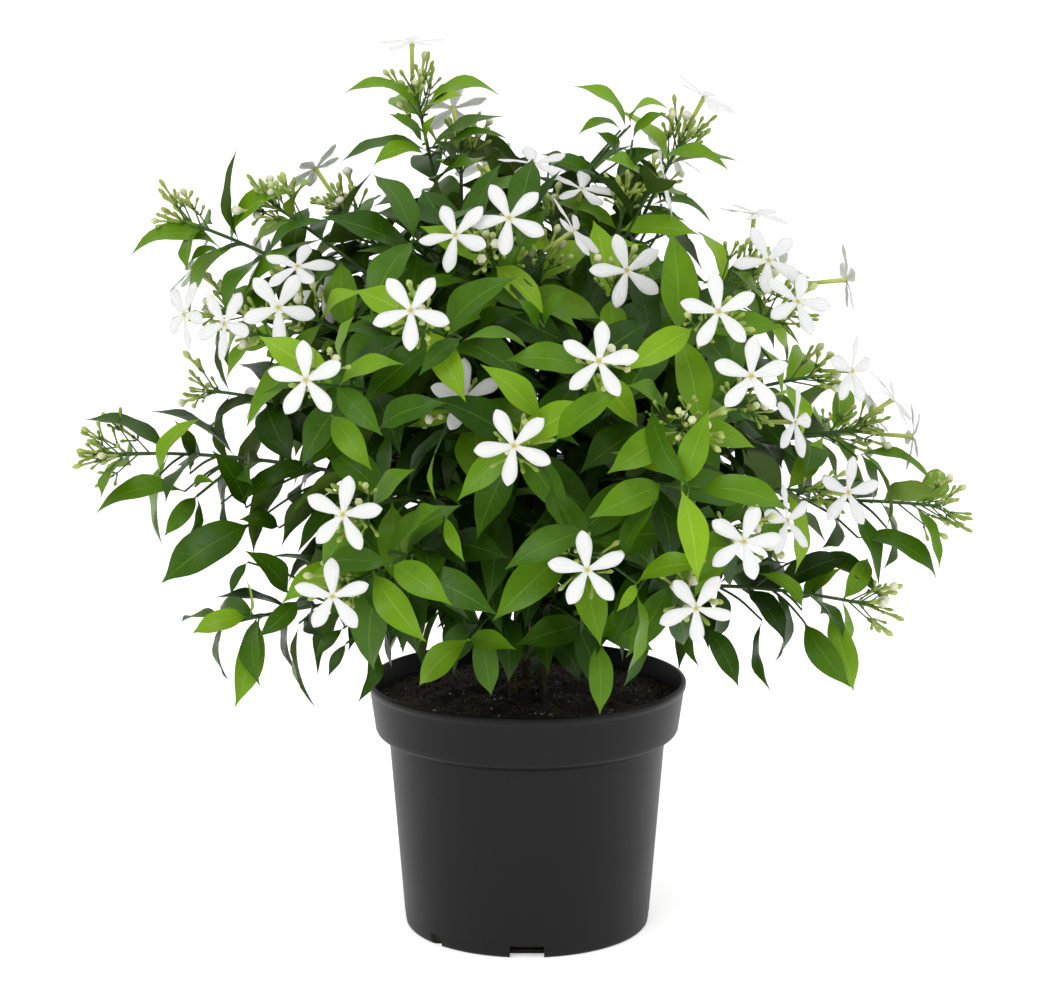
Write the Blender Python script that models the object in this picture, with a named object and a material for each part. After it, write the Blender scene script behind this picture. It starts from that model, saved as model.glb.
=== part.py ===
# A potted flowering shrub: a round nursery pot filled with soil, three woody stems standing in the soil,
# leafy shoots growing from their ends, and open five-petalled blooms seated on the shoots' flower stalks.
# Metres, +Z up. The origin is the middle of the pot's underside, and -Y is the plant's front.
import math
import random

import bmesh
import bpy
from mathutils import Matrix, Vector
from mathutils.bvhtree import BVHTree

MM = 0.001
UP = Vector((0, 0, 1))
GAP = 0.3
SEED = 28

# Pot, in millimetres
POT_SIDES = 36
POT_HEIGHT = 158
RIM_RADIUS = 100
RIM_WALL = 2.8
FOOT_RADIUS = 77.2
BODY_TOP_RADIUS = 87
BODY_TOP_HEIGHT = 122.5
BAND_FOOT_RADIUS = 95.3
BAND_FOOT_HEIGHT = 125.5
BAND_WALL = 2.1
FLOOR = 2.5
WALL = 1.9
SHARP_ANGLE = 30

# The inside's two corners under the rim band: radius, height
STEP_BOTTOM = (BODY_TOP_RADIUS - WALL, BAND_FOOT_HEIGHT - 1.5)
STEP_TOP = (BAND_FOOT_RADIUS - BAND_WALL, BAND_FOOT_HEIGHT + 3)

# Drain notches in the foot's corner, and the smaller slots between them
NOTCH_WIDE, NOTCH_HIGH, NOTCH_DEEP = 21, 8, 10
NOTCH_ANGLES = (-90, 0, 90, 180)
SLOT_SIZE = 7
SLOT_ANGLES = (-137, 43)

# Soil: it stands clear of the pot's notches, and its surface has low mounds
SOIL_HEIGHT = 146
SOIL_RINGS = (70, 38)
SOIL_NOTCH_CLEARANCE = 0.8
MOUND_HEIGHT = 1.6
CROWN_HEIGHT = 2.5
MOUND_REACH = 92
HOLE_DEPTH = 26
HOLE_CLEARANCE = 0.7
HOLE_SIDES = 8

# Woody stems: foot on the soil, and the azimuths of the two shoots that each one carries
STEMS = [
    {"foot": (-9, -5), "fork": (-10, -7, 172), "shoots": (-150, -95)},
    {"foot": (10, -2), "fork": (11, -2, 178), "shoots": (-35, 25)},
    {"foot": (-1, 11), "fork": (-1, 12, 170), "shoots": (85, 150)},
]
STEM_RADIUS = 2.8
STEM_SIDES = 6
STEM_CLEAR_HEIGHT = 7
ARM_RADIUS = 2.1
ARM_STRAIGHT = 9

# Ends of a stem's arm and of the shoot's axis that goes on from it: distance from the middle, height
ARM_END = (17, 204)
AXIS_REACH = (52, 415)
AXIS_RADII = (2.1, 1.9, 1.7, 1.4)
AXIS_SIDES = 5

# Twigs. One leaves its axis at a height that is a share of its tip's height, plus a constant
TWIG_FOOT_RADIUS = 1.5
TWIG_TIP_RADIUS = 1.0
TWIG_SIDES = 4
TWIG_STEPS = 4
TWIG_ARCH = 0.10
TWIG_LEVEL = (0.6, 85)
TWIG_SHARES = (0.02, 0.97)

# Leaves, in opposite pairs. The outline gives the blade's half width along its length, both as shares
LEAF_LENGTH = (47, 58)
YOUNG_SIZE = 0.82
LEAF_WIDE = 0.36
LEAF_STRETCH = (0.92, 1.12)
LEAF_DROOP = (0.45, 1.1)
LEAF_FOLD = 0.24
LEAF_THICK = 1.1
LEAF_OUTLINE = [(0.15, 0.09), (0.40, 1.0), (0.72, 0.62)]
LEAF_CLEARANCE = 0.45
LEAF_SUNK = 0.35
PETIOLE_RADIUS = 0.62
PAIR_STEP = 21
LOWEST_LEAF = 120
POT_CLEARANCE = (4, 3)

# Closed buds, in pairs along the last stretch of a twig
CYME_LENGTH = 13
BUD_LENGTH = (13, 20)
BUD_RADII = (0.55, 1.7)
BUD_WIDEST = 0.8
BUD_CLEARANCE = 0.4
BUD_SUNK = 0.3

# How often a leaf or a bud is drawn again when it would touch something
TRIES = 9

# Shares of a fused shoot's triangles to keep, the least first, until nothing in it crosses
THIN_RATIOS = (0.5, 0.54, 0.58, 0.63, 0.7, 0.8, 0.9)

# Blooms. The petal's outline gives its distance from the middle and its half width as a share
PETALS = 5
PETAL_LENGTH = 21.5
PETAL_WIDE = 10.2
PETAL_OUTLINE = ((8.5, -0.86), (16.3, -0.92), (21.5, 0), (16.3, 0.92), (8.5, 0.86))
PETAL_MIDDLE = 11.5
PETAL_ARCH = 0.9
PETAL_LIFT = (-2.2, 1.6)
PETAL_THICK = 1.0
THROAT_RADIUS = 2.6
TUBE_LENGTH = 22
TUBE_RADIUS = 1.25
TUBE_FOOT_RADIUS = 1.2

# The stalk under a bloom ends in a calyx as wide as the tube's foot and a little over
STALK_RADII = (0.8, 0.75, 0.9, 1.5)
STALK_STRAIGHT = 2.5

# The photograph's camera, fitted to the pot's rim and foot: how far it stands before the pot's axis, its height
# and its downward tilt in radians. A photo place is across and down in its 1056 by 992 pixels
CAMERA_BACK = 1845.4
CAMERA_HEIGHT = 628.2
CAMERA_TILT = 0.1893
PHOTO_MIDDLE = (528, 496)
PHOTO_FOCUS = 3009.6

# The crown's outer dome, middle and half widths. A photo place that has no depth lies on it
DOME_MIDDLE = (0, 0, 330)
DOME_REACH = (285, 235, 240)
INNER_SHARE = 0.93

# Near blooms: tip, photo place of the petals' middle, its depth behind the pot's axis (mm), and the bloom's
# azimuth, elevation and spin (degrees)
BLOOMS = [
    (0, (413, 45), 10, -90, 80, 0),
    (1, (455, 110), 50, 100, 40, 0),
    (2, (705, 98), 20, -20, 60, 10),
    (3, (318, 170), 30, 150, 50, 0),
    (6, (187, 315), -30, -140, 5, 20),
    (6, (195, 270), 30, 165, 35, 0),
    (7, (227, 325), -80, -125, 10, 30),
    (8, (280, 309), -130, -97, 12, 32),
    (8, (300, 268), -100, -95, 58, 10),
    (9, (325, 293), -30, -60, 30, 40),
    (10, (308, 381), None, -95, 8, -5),
    (12, (413, 312), None, -93, 14, 35),
    (13, (457, 236), -155, -115, 28, 37),
    (13, (511, 219), -150, -85, 22, 47),
    (14, (535, 165), -30, -80, 72, 0),
    (14, (583, 190), -20, -60, 62, 30),
    (15, (575, 232), -100, -15, 35, 0),
    (16, (627, 272), -130, -80, 12, 57),
    (17, (665, 185), -20, 0, 15, 20),
    (18, (719, 313), None, -85, 12, 66),
    (19, (751, 377), None, -85, 10, 2),
    (19, (795, 422), -120, -35, 5, 20),
    (20, (755, 215), 0, -60, 80, 0),
    (20, (768, 262), -60, -75, 25, 50),
    (21, (797, 302), -80, -65, 35, 30),
    (21, (846, 280), -20, 5, 5, 0),
    (22, (852, 372), -60, -40, 5, 10),
    (23, (893, 400), -10, -10, 35, 0),
    (23, (912, 437), 0, 5, -5, 30),
    (24, (847, 492), -70, -60, 5, 10),
    (27, (744, 541), None, -85, 2, 18),
    (27, (788, 520), -115, -40, 10, 0),
    (28, (696, 607), None, -85, -8, 34),
    (29, (588, 570), None, -92, 2, 66),
    (30, (600, 362), None, -90, 10, 8),
    (31, (516, 447), None, -92, 8, 45),
    (32, (468, 397), -165, -75, 15, 67),
    (33, (344, 514), None, -97, 3, 8),
    (34, (335, 597), None, -97, -4, 69),
]

# A twig's tip lies behind the middle of its near blooms' petals, then a little in towards the crown's heart
TIP_BEHIND = 22.5
TIP_INWARD = 8
CROWN_HEART = (0, 0, 250)

# Front tips without an open bloom: photo place and depth
PHOTO_TIPS = {37: ((683, 489), None), 38: ((392, 566), None), 39: ((470, 640), -130), 40: ((600, 640), -130)}

# Tips set at a place of their own (mm): side sprays, and the far side that the photograph doesn't show
SET_TIPS = {
    4: (-210, 0, 446),
    5: (-155, -4, 456),
    9: (-124, -10, 386),
    11: (-259, 0, 301),
    25: (257, 0, 268),
    26: (210, -30, 212),
    35: (-188, -40, 201),
    36: (90, -192, 350),
    41: (200, 78, 300),
    42: (150, 110, 225),
    43: (150, 120, 385),
    44: (85, 175, 290),
    45: (80, 120, 455),
    46: (60, 190, 370),
    47: (0, 165, 220),
    48: (-15, 205, 310),
    49: (-20, 135, 450),
    50: (-85, 170, 375),
    51: (-110, 130, 240),
    52: (-155, 130, 310),
    53: (-150, 85, 400),
    54: (-205, 70, 330),
}

# Pairs of leaves, and buds, at each tip from 0 on
TIP_GROWTH = [
    (3, 5), (2, 4), (3, 5), (2, 4), (3, 4), (2, 5), (1, 2), (2, 2), (2, 2), (1, 2),
    (2, 2), (4, 5), (2, 3), (2, 5), (2, 2), (1, 2), (2, 2), (2, 2), (2, 3), (2, 3),
    (2, 4), (1, 3), (1, 2), (2, 3), (1, 3), (3, 5), (3, 4), (2, 2), (2, 2), (2, 1),
    (2, 2), (2, 1), (1, 1), (2, 3), (2, 2), (3, 0), (1, 6), (2, 0), (2, 0), (2, 0),
    (2, 0), (2, 3), (2, 2), (2, 3), (2, 3), (2, 3), (2, 3), (2, 2), (2, 3), (2, 3),
    (2, 3), (2, 2), (2, 3), (2, 3), (2, 2),
]

# On the far side each of these tips carries one bloom that faces outward from the crown's middle
BACK_BLOOM_TIPS = (41, 43, 44, 45, 46, 48, 49, 50, 52, 53)
BACK_REACH = 27
CROWN_MIDDLE = 300


def to_vector(place):
    return Vector(place) * MM


def facing(azimuth, elevation):
    turn, rise = math.radians(azimuth), math.radians(elevation)
    return Vector((math.cos(rise) * math.cos(turn), math.cos(rise) * math.sin(turn), math.sin(rise)))


def across(direction, towards=UP):
    """A unit vector square to direction, as near towards as it can be."""
    found = towards - direction * towards.dot(direction)
    if found.length < 0.05:
        found = Vector((1, 0, 0)) - direction * direction.x
    return found.normalized()


def whole(place):
    return tuple(round(value) for value in place)


def photo_place(across, down, depth=None, share=1.0):
    """The place in mm at a photo place: at a depth behind the pot's axis, or else on a share of the dome."""
    sideways = (across - PHOTO_MIDDLE[0]) / PHOTO_FOCUS
    rise = (PHOTO_MIDDLE[1] - down) / PHOTO_FOCUS
    ahead, fall = math.cos(CAMERA_TILT), math.sin(CAMERA_TILT)
    sight = (sideways, ahead + rise * fall, rise * ahead - fall)
    eye = (0, -CAMERA_BACK, CAMERA_HEIGHT)
    if depth is None:
        # Where the line of sight enters the dome, or else comes nearest to it
        start = [(e - m) / (reach * share) for e, m, reach in zip(eye, DOME_MIDDLE, DOME_REACH)]
        step = [s / (reach * share) for s, reach in zip(sight, DOME_REACH)]
        square = sum(s * s for s in step)
        nearest = -sum(a * s for a, s in zip(start, step)) / square
        inside = nearest ** 2 - (sum(a * a for a in start) - 1) / square
        far = nearest - math.sqrt(max(inside, 0))
    else:
        far = (depth - eye[1]) / sight[1]
    return [e + s * far for e, s in zip(eye, sight)]


def near_bloom_rows():
    """Each near bloom's tip, the middle of its petals (mm), and its azimuth, elevation and spin."""
    return [(tip, whole(photo_place(*spot, depth)), *turns) for tip, spot, depth, *turns in BLOOMS]


def tip_behind_blooms(tip):
    behind = []
    for number, spot, depth, azimuth, elevation, _ in BLOOMS:
        if number == tip:
            behind.append(Vector(photo_place(*spot, depth)) - facing(azimuth, elevation) * TIP_BEHIND)
    middle = sum(behind, Vector()) / len(behind)
    return middle - (middle - Vector(CROWN_HEART)).normalized() * TIP_INWARD


def tip_rows():
    """Each tip's place (mm), pairs of leaves and buds."""
    rows = {}
    for tip, (pairs, buds) in enumerate(TIP_GROWTH):
        if tip in SET_TIPS:
            place = SET_TIPS[tip]
        elif tip in PHOTO_TIPS:
            spot, depth = PHOTO_TIPS[tip]
            place = photo_place(*spot, depth, INNER_SHARE)
        else:
            place = tip_behind_blooms(tip)
        rows[tip] = (whole(place), pairs, buds)
    return rows


def angle_apart(a, b):
    return abs((a - b + 180) % 360 - 180)


def material(name, colour, roughness, metallic=0.0):
    made = bpy.data.materials.new(name)
    made.use_nodes = True
    shader = made.node_tree.nodes["Principled BSDF"]
    shader.inputs["Base Color"].default_value = (*colour, 1)
    shader.inputs["Roughness"].default_value = roughness
    shader.inputs["Metallic"].default_value = metallic
    return made


def loft(rings):
    """Points and triangles of a closed body through rings of points. A ring of one point is a sharp end."""
    points = [point for ring in rings for point in ring]
    faces = []
    start = 0
    for low, high in zip(rings, rings[1:]):
        count, above = len(low), start + len(low)
        for i in range(count):
            j = (i + 1) % count
            if len(high) == 1:
                faces.append((start + i, start + j, above))
            else:
                faces += split_quad(i, start + i, start + j, above + j, above + i)
        start = above
    first, last = len(rings[0]), len(rings[-1])
    faces += [(0, i + 1, i) for i in range(1, first - 1)]
    faces += [(start, start + i, start + i + 1) for i in range(1, last - 1)]
    return points, faces


def split_quad(i, a, b, c, d):
    """Two triangles of a quad. Odd and even sides are split opposite ways, which keeps blades alike."""
    if i % 2:
        return [(a, b, c), (a, c, d)]
    return [(a, b, d), (b, c, d)]


def tube(path, radii, sides):
    """A tube through a path, with rings that don't twist."""
    rings = []
    side = None
    for i, point in enumerate(path):
        along = (path[min(i + 1, len(path) - 1)] - path[max(i - 1, 0)]).normalized()
        side = across(along, UP if side is None else side)
        other = along.cross(side)
        turns = [2 * math.pi * k / sides for k in range(sides)]
        rings.append([point + (side * math.cos(a) + other * math.sin(a)) * radii[i] for a in turns])
    return loft(rings)


def bend(start, middle, end, steps):
    """Points of a curve that leaves start towards middle and reaches end."""
    shares = [i / steps for i in range(steps + 1)]
    return [start * (1 - t) ** 2 + middle * 2 * t * (1 - t) + end * t * t for t in shares]


def walk_back(path, distance):
    """The place at a distance back from a path's end, and the path's direction there."""
    for low, high in zip(reversed(path[:-1]), reversed(path[1:])):
        step = (high - low).length
        if distance <= step:
            return high + (low - high) * (distance / step), (high - low).normalized()
        distance -= step
    return None


def blade(root, aim, face, length, droop, stretch=1.0, swell=0.0):
    """A leaf: an arched blade with a folded midrib on a petiole. With swell it is the room that it needs,
    which starts a little way out, since the petiole's foot is meant to touch the twig."""
    side = aim.cross(face)
    half = length * LEAF_WIDE / 2 * stretch + swell
    thick = LEAF_THICK * MM / 2 + swell

    def ring(share, wide, rise):
        turn = droop * share
        along = math.sin(turn) / droop * length
        fall = (1 - math.cos(turn)) / droop * length
        middle = root + aim * along - face * fall
        top = face * math.cos(turn) + aim * math.sin(turn)
        lift = top * (wide * LEAF_FOLD)
        left, right = middle + side * wide + lift, middle - side * wide + lift
        return [left, middle - top * rise, right, middle + top * rise]

    petiole = PETIOLE_RADIUS * MM + swell
    rings = [ring(0.045 if swell else 0.0, petiole, petiole)]
    for share, wide in LEAF_OUTLINE:
        rings.append(ring(share, half * wide, thick))
    rings.append([ring(1.0, 0, 0)[0]])
    return loft(rings)


def bud(root, aim, length, swell=0.0):
    """A closed bud on its slender tube, thickest near its pointed end. Swell is as for a leaf."""
    side = across(aim)
    other = aim.cross(side)
    turns = [2 * math.pi * k / 3 for k in range(3)]
    rings = []
    for share, radius in zip((0.15 if swell else 0.0, BUD_WIDEST), BUD_RADII):
        reach = radius * MM + swell
        middle = root + aim * length * share
        rings.append([middle + (side * math.cos(a) + other * math.sin(a)) * reach for a in turns])
    rings.append([root + aim * (length + swell)])
    return loft(rings)


def petal_rise(radius, lift):
    """Height of a petal's upper side over the bloom's middle: a low arch, then up or down towards its tip."""
    share = radius / PETAL_LENGTH
    return PETAL_ARCH * math.sin(share * math.pi) + lift * share**2


def bloom(middle, aim, spin, draw):
    """Five plain petals round a throat, on a narrow tube: one closed body."""
    side = across(aim)
    frame = Matrix((side, aim.cross(side), aim)).transposed()
    step = 360 / PETALS

    def place(radius, degrees, height):
        turn = math.radians(degrees)
        local = Vector((radius * math.cos(turn), -radius * math.sin(turn), height)) * MM
        return middle + frame @ local

    def between_petals(radius, height):
        return [place(radius, spin + step * (i - 0.5), height) for i in range(PETALS)]

    points = [place(0, 0, 0.5)] + between_petals(TUBE_RADIUS, -1.0) + between_petals(THROAT_RADIUS, 0)
    faces = []
    for i in range(PETALS):
        lift = draw.uniform(*PETAL_LIFT)
        centre = spin + step * i
        a, b, tip, c, d, top, low = range(len(points), len(points) + 7)
        for radius, share in PETAL_OUTLINE:
            wide = PETAL_WIDE / 2 * share
            turn = centre + math.degrees(math.atan2(wide, radius))
            points.append(place(math.hypot(radius, wide), turn, petal_rise(radius, lift)))
        rise = petal_rise(PETAL_MIDDLE, lift) + 0.1
        points += [place(PETAL_MIDDLE, centre, rise), place(PETAL_MIDDLE, centre, rise - PETAL_THICK)]
        neck, next_neck = 1 + i, 1 + (i + 1) % PETALS
        before, after = neck + PETALS, next_neck + PETALS
        upper = [(0, before, a), (0, a, top), (0, top, d), (0, d, after)]
        upper += [(top, a, b), (top, b, tip), (top, tip, c), (top, c, d)]
        under = [(neck, a, before), (neck, low, a), (neck, next_neck, low), (next_neck, d, low)]
        under += [(next_neck, after, d), (low, b, a), (low, tip, b), (low, c, tip), (low, d, c)]
        faces += [(p, r, q) for p, q, r in upper + under]
    foot = len(points)
    points += between_petals(TUBE_FOOT_RADIUS, -TUBE_LENGTH)
    for i in range(PETALS):
        j = (i + 1) % PETALS
        faces += [(1 + i, 1 + j, foot + j), (1 + i, foot + j, foot + i)]
    faces += [(foot, foot + i, foot + i + 1) for i in range(1, PETALS - 1)]
    return points, faces


class Crowd:
    """The bodies placed so far, asked whether a new one would cross any of them."""

    def __init__(self):
        self.members = []

    def add(self, body, owner):
        middle, reach = self.ball(body[0])
        self.members.append((BVHTree.FromPolygons(*body), middle, reach, owner))

    @staticmethod
    def ball(points):
        middle = sum(points, Vector()) / len(points)
        return middle, max((point - middle).length for point in points)

    def crossed(self, body, but):
        middle, reach = self.ball(body[0])
        tree = BVHTree.FromPolygons(*body)
        for other, place, size, owner in self.members:
            near = (place - middle).length <= reach + size
            if near and owner != but and tree.overlap(other):
                return True
        return False


def make_object(name, body, look=None):
    mesh = bpy.data.meshes.new(name)
    mesh.from_pydata([tuple(p) for p in body[0]], [], body[1])
    mesh.update()
    made = bpy.data.objects.new(name, mesh)
    bpy.context.scene.collection.objects.link(made)
    if look:
        mesh.materials.append(look)
    return made


def crossings(shape):
    """How many pairs of a mesh's faces cross without sharing a corner."""
    tree = BVHTree.FromBMesh(shape)
    shape.faces.ensure_lookup_table()
    corners = [{vert.index for vert in face.verts} for face in shape.faces]
    return sum(1 for i, j in tree.overlap(tree) if i < j and not corners[i] & corners[j])


def open_edges(shape):
    return sum(1 for edge in shape.edges if len(edge.link_faces) != 2)


def keep_largest(shape):
    """Keeps the largest body: a loose scrap is dropped and a sealed hollow filled."""
    todo = set(shape.faces)
    found = []
    while todo:
        front = [todo.pop()]
        group = list(front)
        while front:
            for edge in front.pop().edges:
                for face in edge.link_faces:
                    if face in todo:
                        todo.remove(face)
                        front.append(face)
                        group.append(face)
        found.append(group)
    found.sort(key=len)
    for group in found[:-1]:
        bmesh.ops.delete(shape, geom=group, context="FACES")
    bmesh.ops.delete(shape, geom=[vert for vert in shape.verts if not vert.link_faces], context="VERTS")


def modified(target, kind, **settings):
    """A triangle mesh of the object with one modifier applied."""
    step = target.modifiers.new(kind.title(), kind)
    for name, value in settings.items():
        setattr(step, name, value)
    depsgraph = bpy.context.evaluated_depsgraph_get()
    mesh = bpy.data.meshes.new_from_object(target.evaluated_get(depsgraph))
    target.modifiers.remove(step)
    shape = bmesh.new()
    shape.from_mesh(mesh)
    bmesh.ops.triangulate(shape, faces=shape.faces)
    return mesh, shape


def fuse(name, bodies, look, thin=False):
    """One closed body from many that overlap. With thin, the needless corners that joining leaves go."""
    made = make_object(name, bodies[0], look)
    others = bpy.data.collections.new(name + "_joined")
    bpy.context.scene.collection.children.link(others)
    for i, body in enumerate(bodies[1:]):
        piece = make_object(f"{name}_piece_{i}", body, look)
        bpy.context.scene.collection.objects.unlink(piece)
        others.objects.link(piece)
    union = {"operation": "UNION", "operand_type": "COLLECTION", "collection": others}
    for solver in ("EXACT", "MANIFOLD"):
        mesh, shape = modified(made, "BOOLEAN", solver=solver, **union)
        keep_largest(shape)
        if not open_edges(shape):
            break
    shape.to_mesh(mesh)
    made.data = mesh
    for piece in list(others.objects):
        bpy.data.objects.remove(piece)
    bpy.data.collections.remove(others)
    for ratio in THIN_RATIOS if thin else ():
        mesh, shape = modified(made, "DECIMATE", ratio=ratio, use_collapse_triangulate=True)
        if not open_edges(shape) and not crossings(shape):
            shape.to_mesh(mesh)
            made.data = mesh
            break
    return made


def turned(profile, sides):
    """A body turned from a profile of (radius, height) in mm, from its underside round to its inside."""
    rings = []
    for radius, height in profile:
        turns = [2 * math.pi * k / sides for k in range(sides)]
        rings.append([Vector((radius * math.cos(a), radius * math.sin(a), height)) * MM for a in turns])
    return loft(rings)


def make_cutter(name, profile, sides):
    cutter = make_object(name, turned(profile, sides))
    cutter.hide_render = True
    cutter.display_type = "WIRE"
    return cutter


def box_cutter(name, azimuth, radius, size, height, spin=0.0):
    """A block that cuts a corner notch. It reaches from below the foot to height."""
    corner = size / math.sqrt(2)
    cutter = make_cutter(name, [(corner, -2), (corner, height)], 4)
    cutter.data.transform(Matrix.Rotation(math.radians(45 + spin), 4, "Z"))
    cutter.data.transform(Matrix.Translation(Vector((radius, 0, 0)) * MM))
    cutter.data.transform(Matrix.Rotation(math.radians(azimuth), 4, "Z"))
    return cutter


def cut(target, cutters):
    for cutter in cutters:
        notch = target.modifiers.new(cutter.name, "BOOLEAN")
        notch.operation = "DIFFERENCE"
        notch.solver = "EXACT"
        notch.object = cutter


def make_pot(look):
    """The pot, its profile up the outside from the foot, over the rim and down the inside to the floor."""
    profile = [
        (FOOT_RADIUS - 1.5, 0),
        (FOOT_RADIUS, 1.5),
        (BODY_TOP_RADIUS, BODY_TOP_HEIGHT),
        (BAND_FOOT_RADIUS, BAND_FOOT_HEIGHT),
        (RIM_RADIUS - 0.8, POT_HEIGHT - 3.5),
        (RIM_RADIUS, POT_HEIGHT - 2.5),
        (RIM_RADIUS - 0.4, POT_HEIGHT),
        (RIM_RADIUS - RIM_WALL, POT_HEIGHT),
        STEP_TOP,
        STEP_BOTTOM,
        (FOOT_RADIUS - WALL, FLOOR),
    ]
    pot = make_object("pot", turned(profile, POT_SIDES), look)
    pot.data.shade_smooth()
    pot.data.set_sharp_from_angle(angle=math.radians(SHARP_ANGLE))
    reach = FOOT_RADIUS - NOTCH_DEEP + NOTCH_WIDE / 2
    cutters = []
    for i, azimuth in enumerate(NOTCH_ANGLES):
        cutters.append(box_cutter(f"notch_{i}", azimuth, reach, NOTCH_WIDE, NOTCH_HIGH))
    for i, azimuth in enumerate(SLOT_ANGLES):
        cutters.append(box_cutter(f"slot_{i}", azimuth, FOOT_RADIUS, SLOT_SIZE, SLOT_SIZE, 45))
    cut(pot, cutters)


def soil_top(x, y):
    """Height of the soil's surface in mm: low mounds that fade out at the pot's wall."""
    fade = max(0.0, 1 - (math.hypot(x, y) / MOUND_REACH) ** 2)
    mounds = math.sin(x * 0.11 + 1) * math.cos(y * 0.13) + 0.6 * math.sin(x * 0.23 - y * 0.19)
    return SOIL_HEIGHT + MOUND_HEIGHT * fade * mounds + CROWN_HEIGHT * fade


def make_soil(look):
    """The soil: it fills the pot's inside but for a gap, with notches and holes for the stems."""

    def wall(height):
        radius, low = STEP_TOP
        share = (height - low) / (POT_HEIGHT - low)
        return radius + share * (RIM_RADIUS - RIM_WALL - radius)

    def ring(radius, height=None):
        points = []
        for k in range(POT_SIDES):
            a = 2 * math.pi * k / POT_SIDES
            x, y = radius * math.cos(a), radius * math.sin(a)
            points.append(Vector((x, y, soil_top(x, y) if height is None else height)) * MM)
        return points

    rings = [
        ring(FOOT_RADIUS - WALL - GAP, FLOOR + GAP),
        ring(STEP_BOTTOM[0] - GAP, STEP_BOTTOM[1]),
        ring(STEP_TOP[0] - GAP, STEP_TOP[1]),
        ring(wall(SOIL_HEIGHT) - GAP - 0.1, SOIL_HEIGHT),
        *(ring(radius) for radius in SOIL_RINGS),
        [Vector((0, 0, soil_top(0, 0))) * MM],
    ]
    soil = make_object("soil", loft(rings), look)
    room = SOIL_NOTCH_CLEARANCE
    reach = FOOT_RADIUS - NOTCH_DEEP + NOTCH_WIDE / 2 - room
    wide, high = NOTCH_WIDE + 2 * room, NOTCH_HIGH + room
    cutters = [box_cutter(f"soil_notch_{i}", a, reach, wide, high) for i, a in enumerate(NOTCH_ANGLES)]
    radius = STEM_RADIUS + HOLE_CLEARANCE
    for i, stem in enumerate(STEMS):
        profile = [(radius, SOIL_HEIGHT - HOLE_DEPTH), (radius, SOIL_HEIGHT + 12)]
        hole = make_cutter(f"hole_{i}", profile, HOLE_SIDES)
        hole.data.transform(Matrix.Translation(Vector((*stem["foot"], 0)) * MM))
        cutters.append(hole)
    cut(soil, cutters)


def arm_end(azimuth):
    reach, height = ARM_END
    turn = math.radians(azimuth)
    return Vector((reach * math.cos(turn), reach * math.sin(turn), height)) * MM


def axis_points(azimuth):
    """A shoot's main axis, from just clear of its woody arm up into the crown."""
    reach, height = AXIS_REACH
    turn = math.radians(azimuth)
    end = Vector((reach * math.cos(turn), reach * math.sin(turn), height)) * MM
    foot = arm_end(azimuth)
    start = foot + (end - foot).normalized() * GAP * MM
    return [start, start + (end - start) * 0.33, start + (end - start) * 0.66, end]


def stem_bodies(stem):
    """A woody stem from its hole to its fork and on into one arm, and the other arm from the fork."""
    foot = Vector((*stem["foot"], SOIL_HEIGHT - HOLE_DEPTH + GAP)) * MM
    clear = Vector((*stem["foot"], SOIL_HEIGHT + STEM_CLEAR_HEIGHT)) * MM
    fork = to_vector(stem["fork"])
    below = fork + (foot - fork) * 0.06
    trunk = [STEM_RADIUS, STEM_RADIUS, STEM_RADIUS * 0.95]
    bodies = []
    for points, radii, azimuth in zip(([foot, clear, fork], [below]), (trunk, [ARM_RADIUS]), stem["shoots"]):
        end = arm_end(azimuth)
        aim = (axis_points(azimuth)[-1] - end).normalized()
        near = end - aim * ARM_STRAIGHT * MM
        radii = [r * MM for r in (*radii, ARM_RADIUS, ARM_RADIUS)]
        bodies.append(tube([*points, near, end], radii, STEM_SIDES))
    return bodies


def twig_path(azimuth, end):
    """The arched path of a twig from its shoot's axis to its tip."""
    axis = axis_points(azimuth)
    level = end.z / MM * TWIG_LEVEL[0] + TWIG_LEVEL[1]
    share = (level - ARM_END[1]) / (AXIS_REACH[1] - ARM_END[1])
    least, most = TWIG_SHARES
    start = axis[0] + (axis[-1] - axis[0]) * min(max(share, least), most)
    flat = Vector((end.x - start.x, end.y - start.y, 0)).length
    return bend(start, (start + end) / 2 + UP * flat * TWIG_ARCH, end, TWIG_STEPS)


def stalk(path, foot, aim):
    """A flower stalk from near a twig's end that comes straight up to the foot of a bloom's tube."""
    start = walk_back(path, 2 * MM)[0]
    middle = foot - aim * (foot - start).length * 0.45
    points = bend(start, middle, foot, 3)[:2] + [foot - aim * STALK_STRAIGHT * MM, foot]
    return tube(points, [r * MM for r in STALK_RADII], 3)


def bloom_rows(draw, tips):
    """The blooms of the near side, then those of the far side, which face outward more or less."""
    rows = near_bloom_rows()
    for tip in BACK_BLOOM_TIPS:
        place = Vector(tips[tip][0])
        outward = Vector((place.x, place.y, (place.z - CROWN_MIDDLE) * 0.7)).normalized()
        outward += Vector((draw.uniform(-0.3, 0.3), draw.uniform(-0.3, 0.3), 0.25))
        outward.normalize()
        azimuth = math.degrees(math.atan2(outward.y, outward.x))
        elevation = math.degrees(math.asin(outward.z))
        rows.append((tip, tuple(place + outward * BACK_REACH), azimuth, elevation, draw.uniform(0, 72)))
    return rows


def meets_pot(points):
    """Whether a leaf with these points would hang too low, or touch the rim or the soil."""
    rim, top = (RIM_RADIUS + POT_CLEARANCE[0]) * MM, (POT_HEIGHT + POT_CLEARANCE[1]) * MM
    if min(point.z for point in points) < LOWEST_LEAF * MM:
        return True
    return any(point.z < top and math.hypot(point.x, point.y) < rim for point in points)


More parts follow.
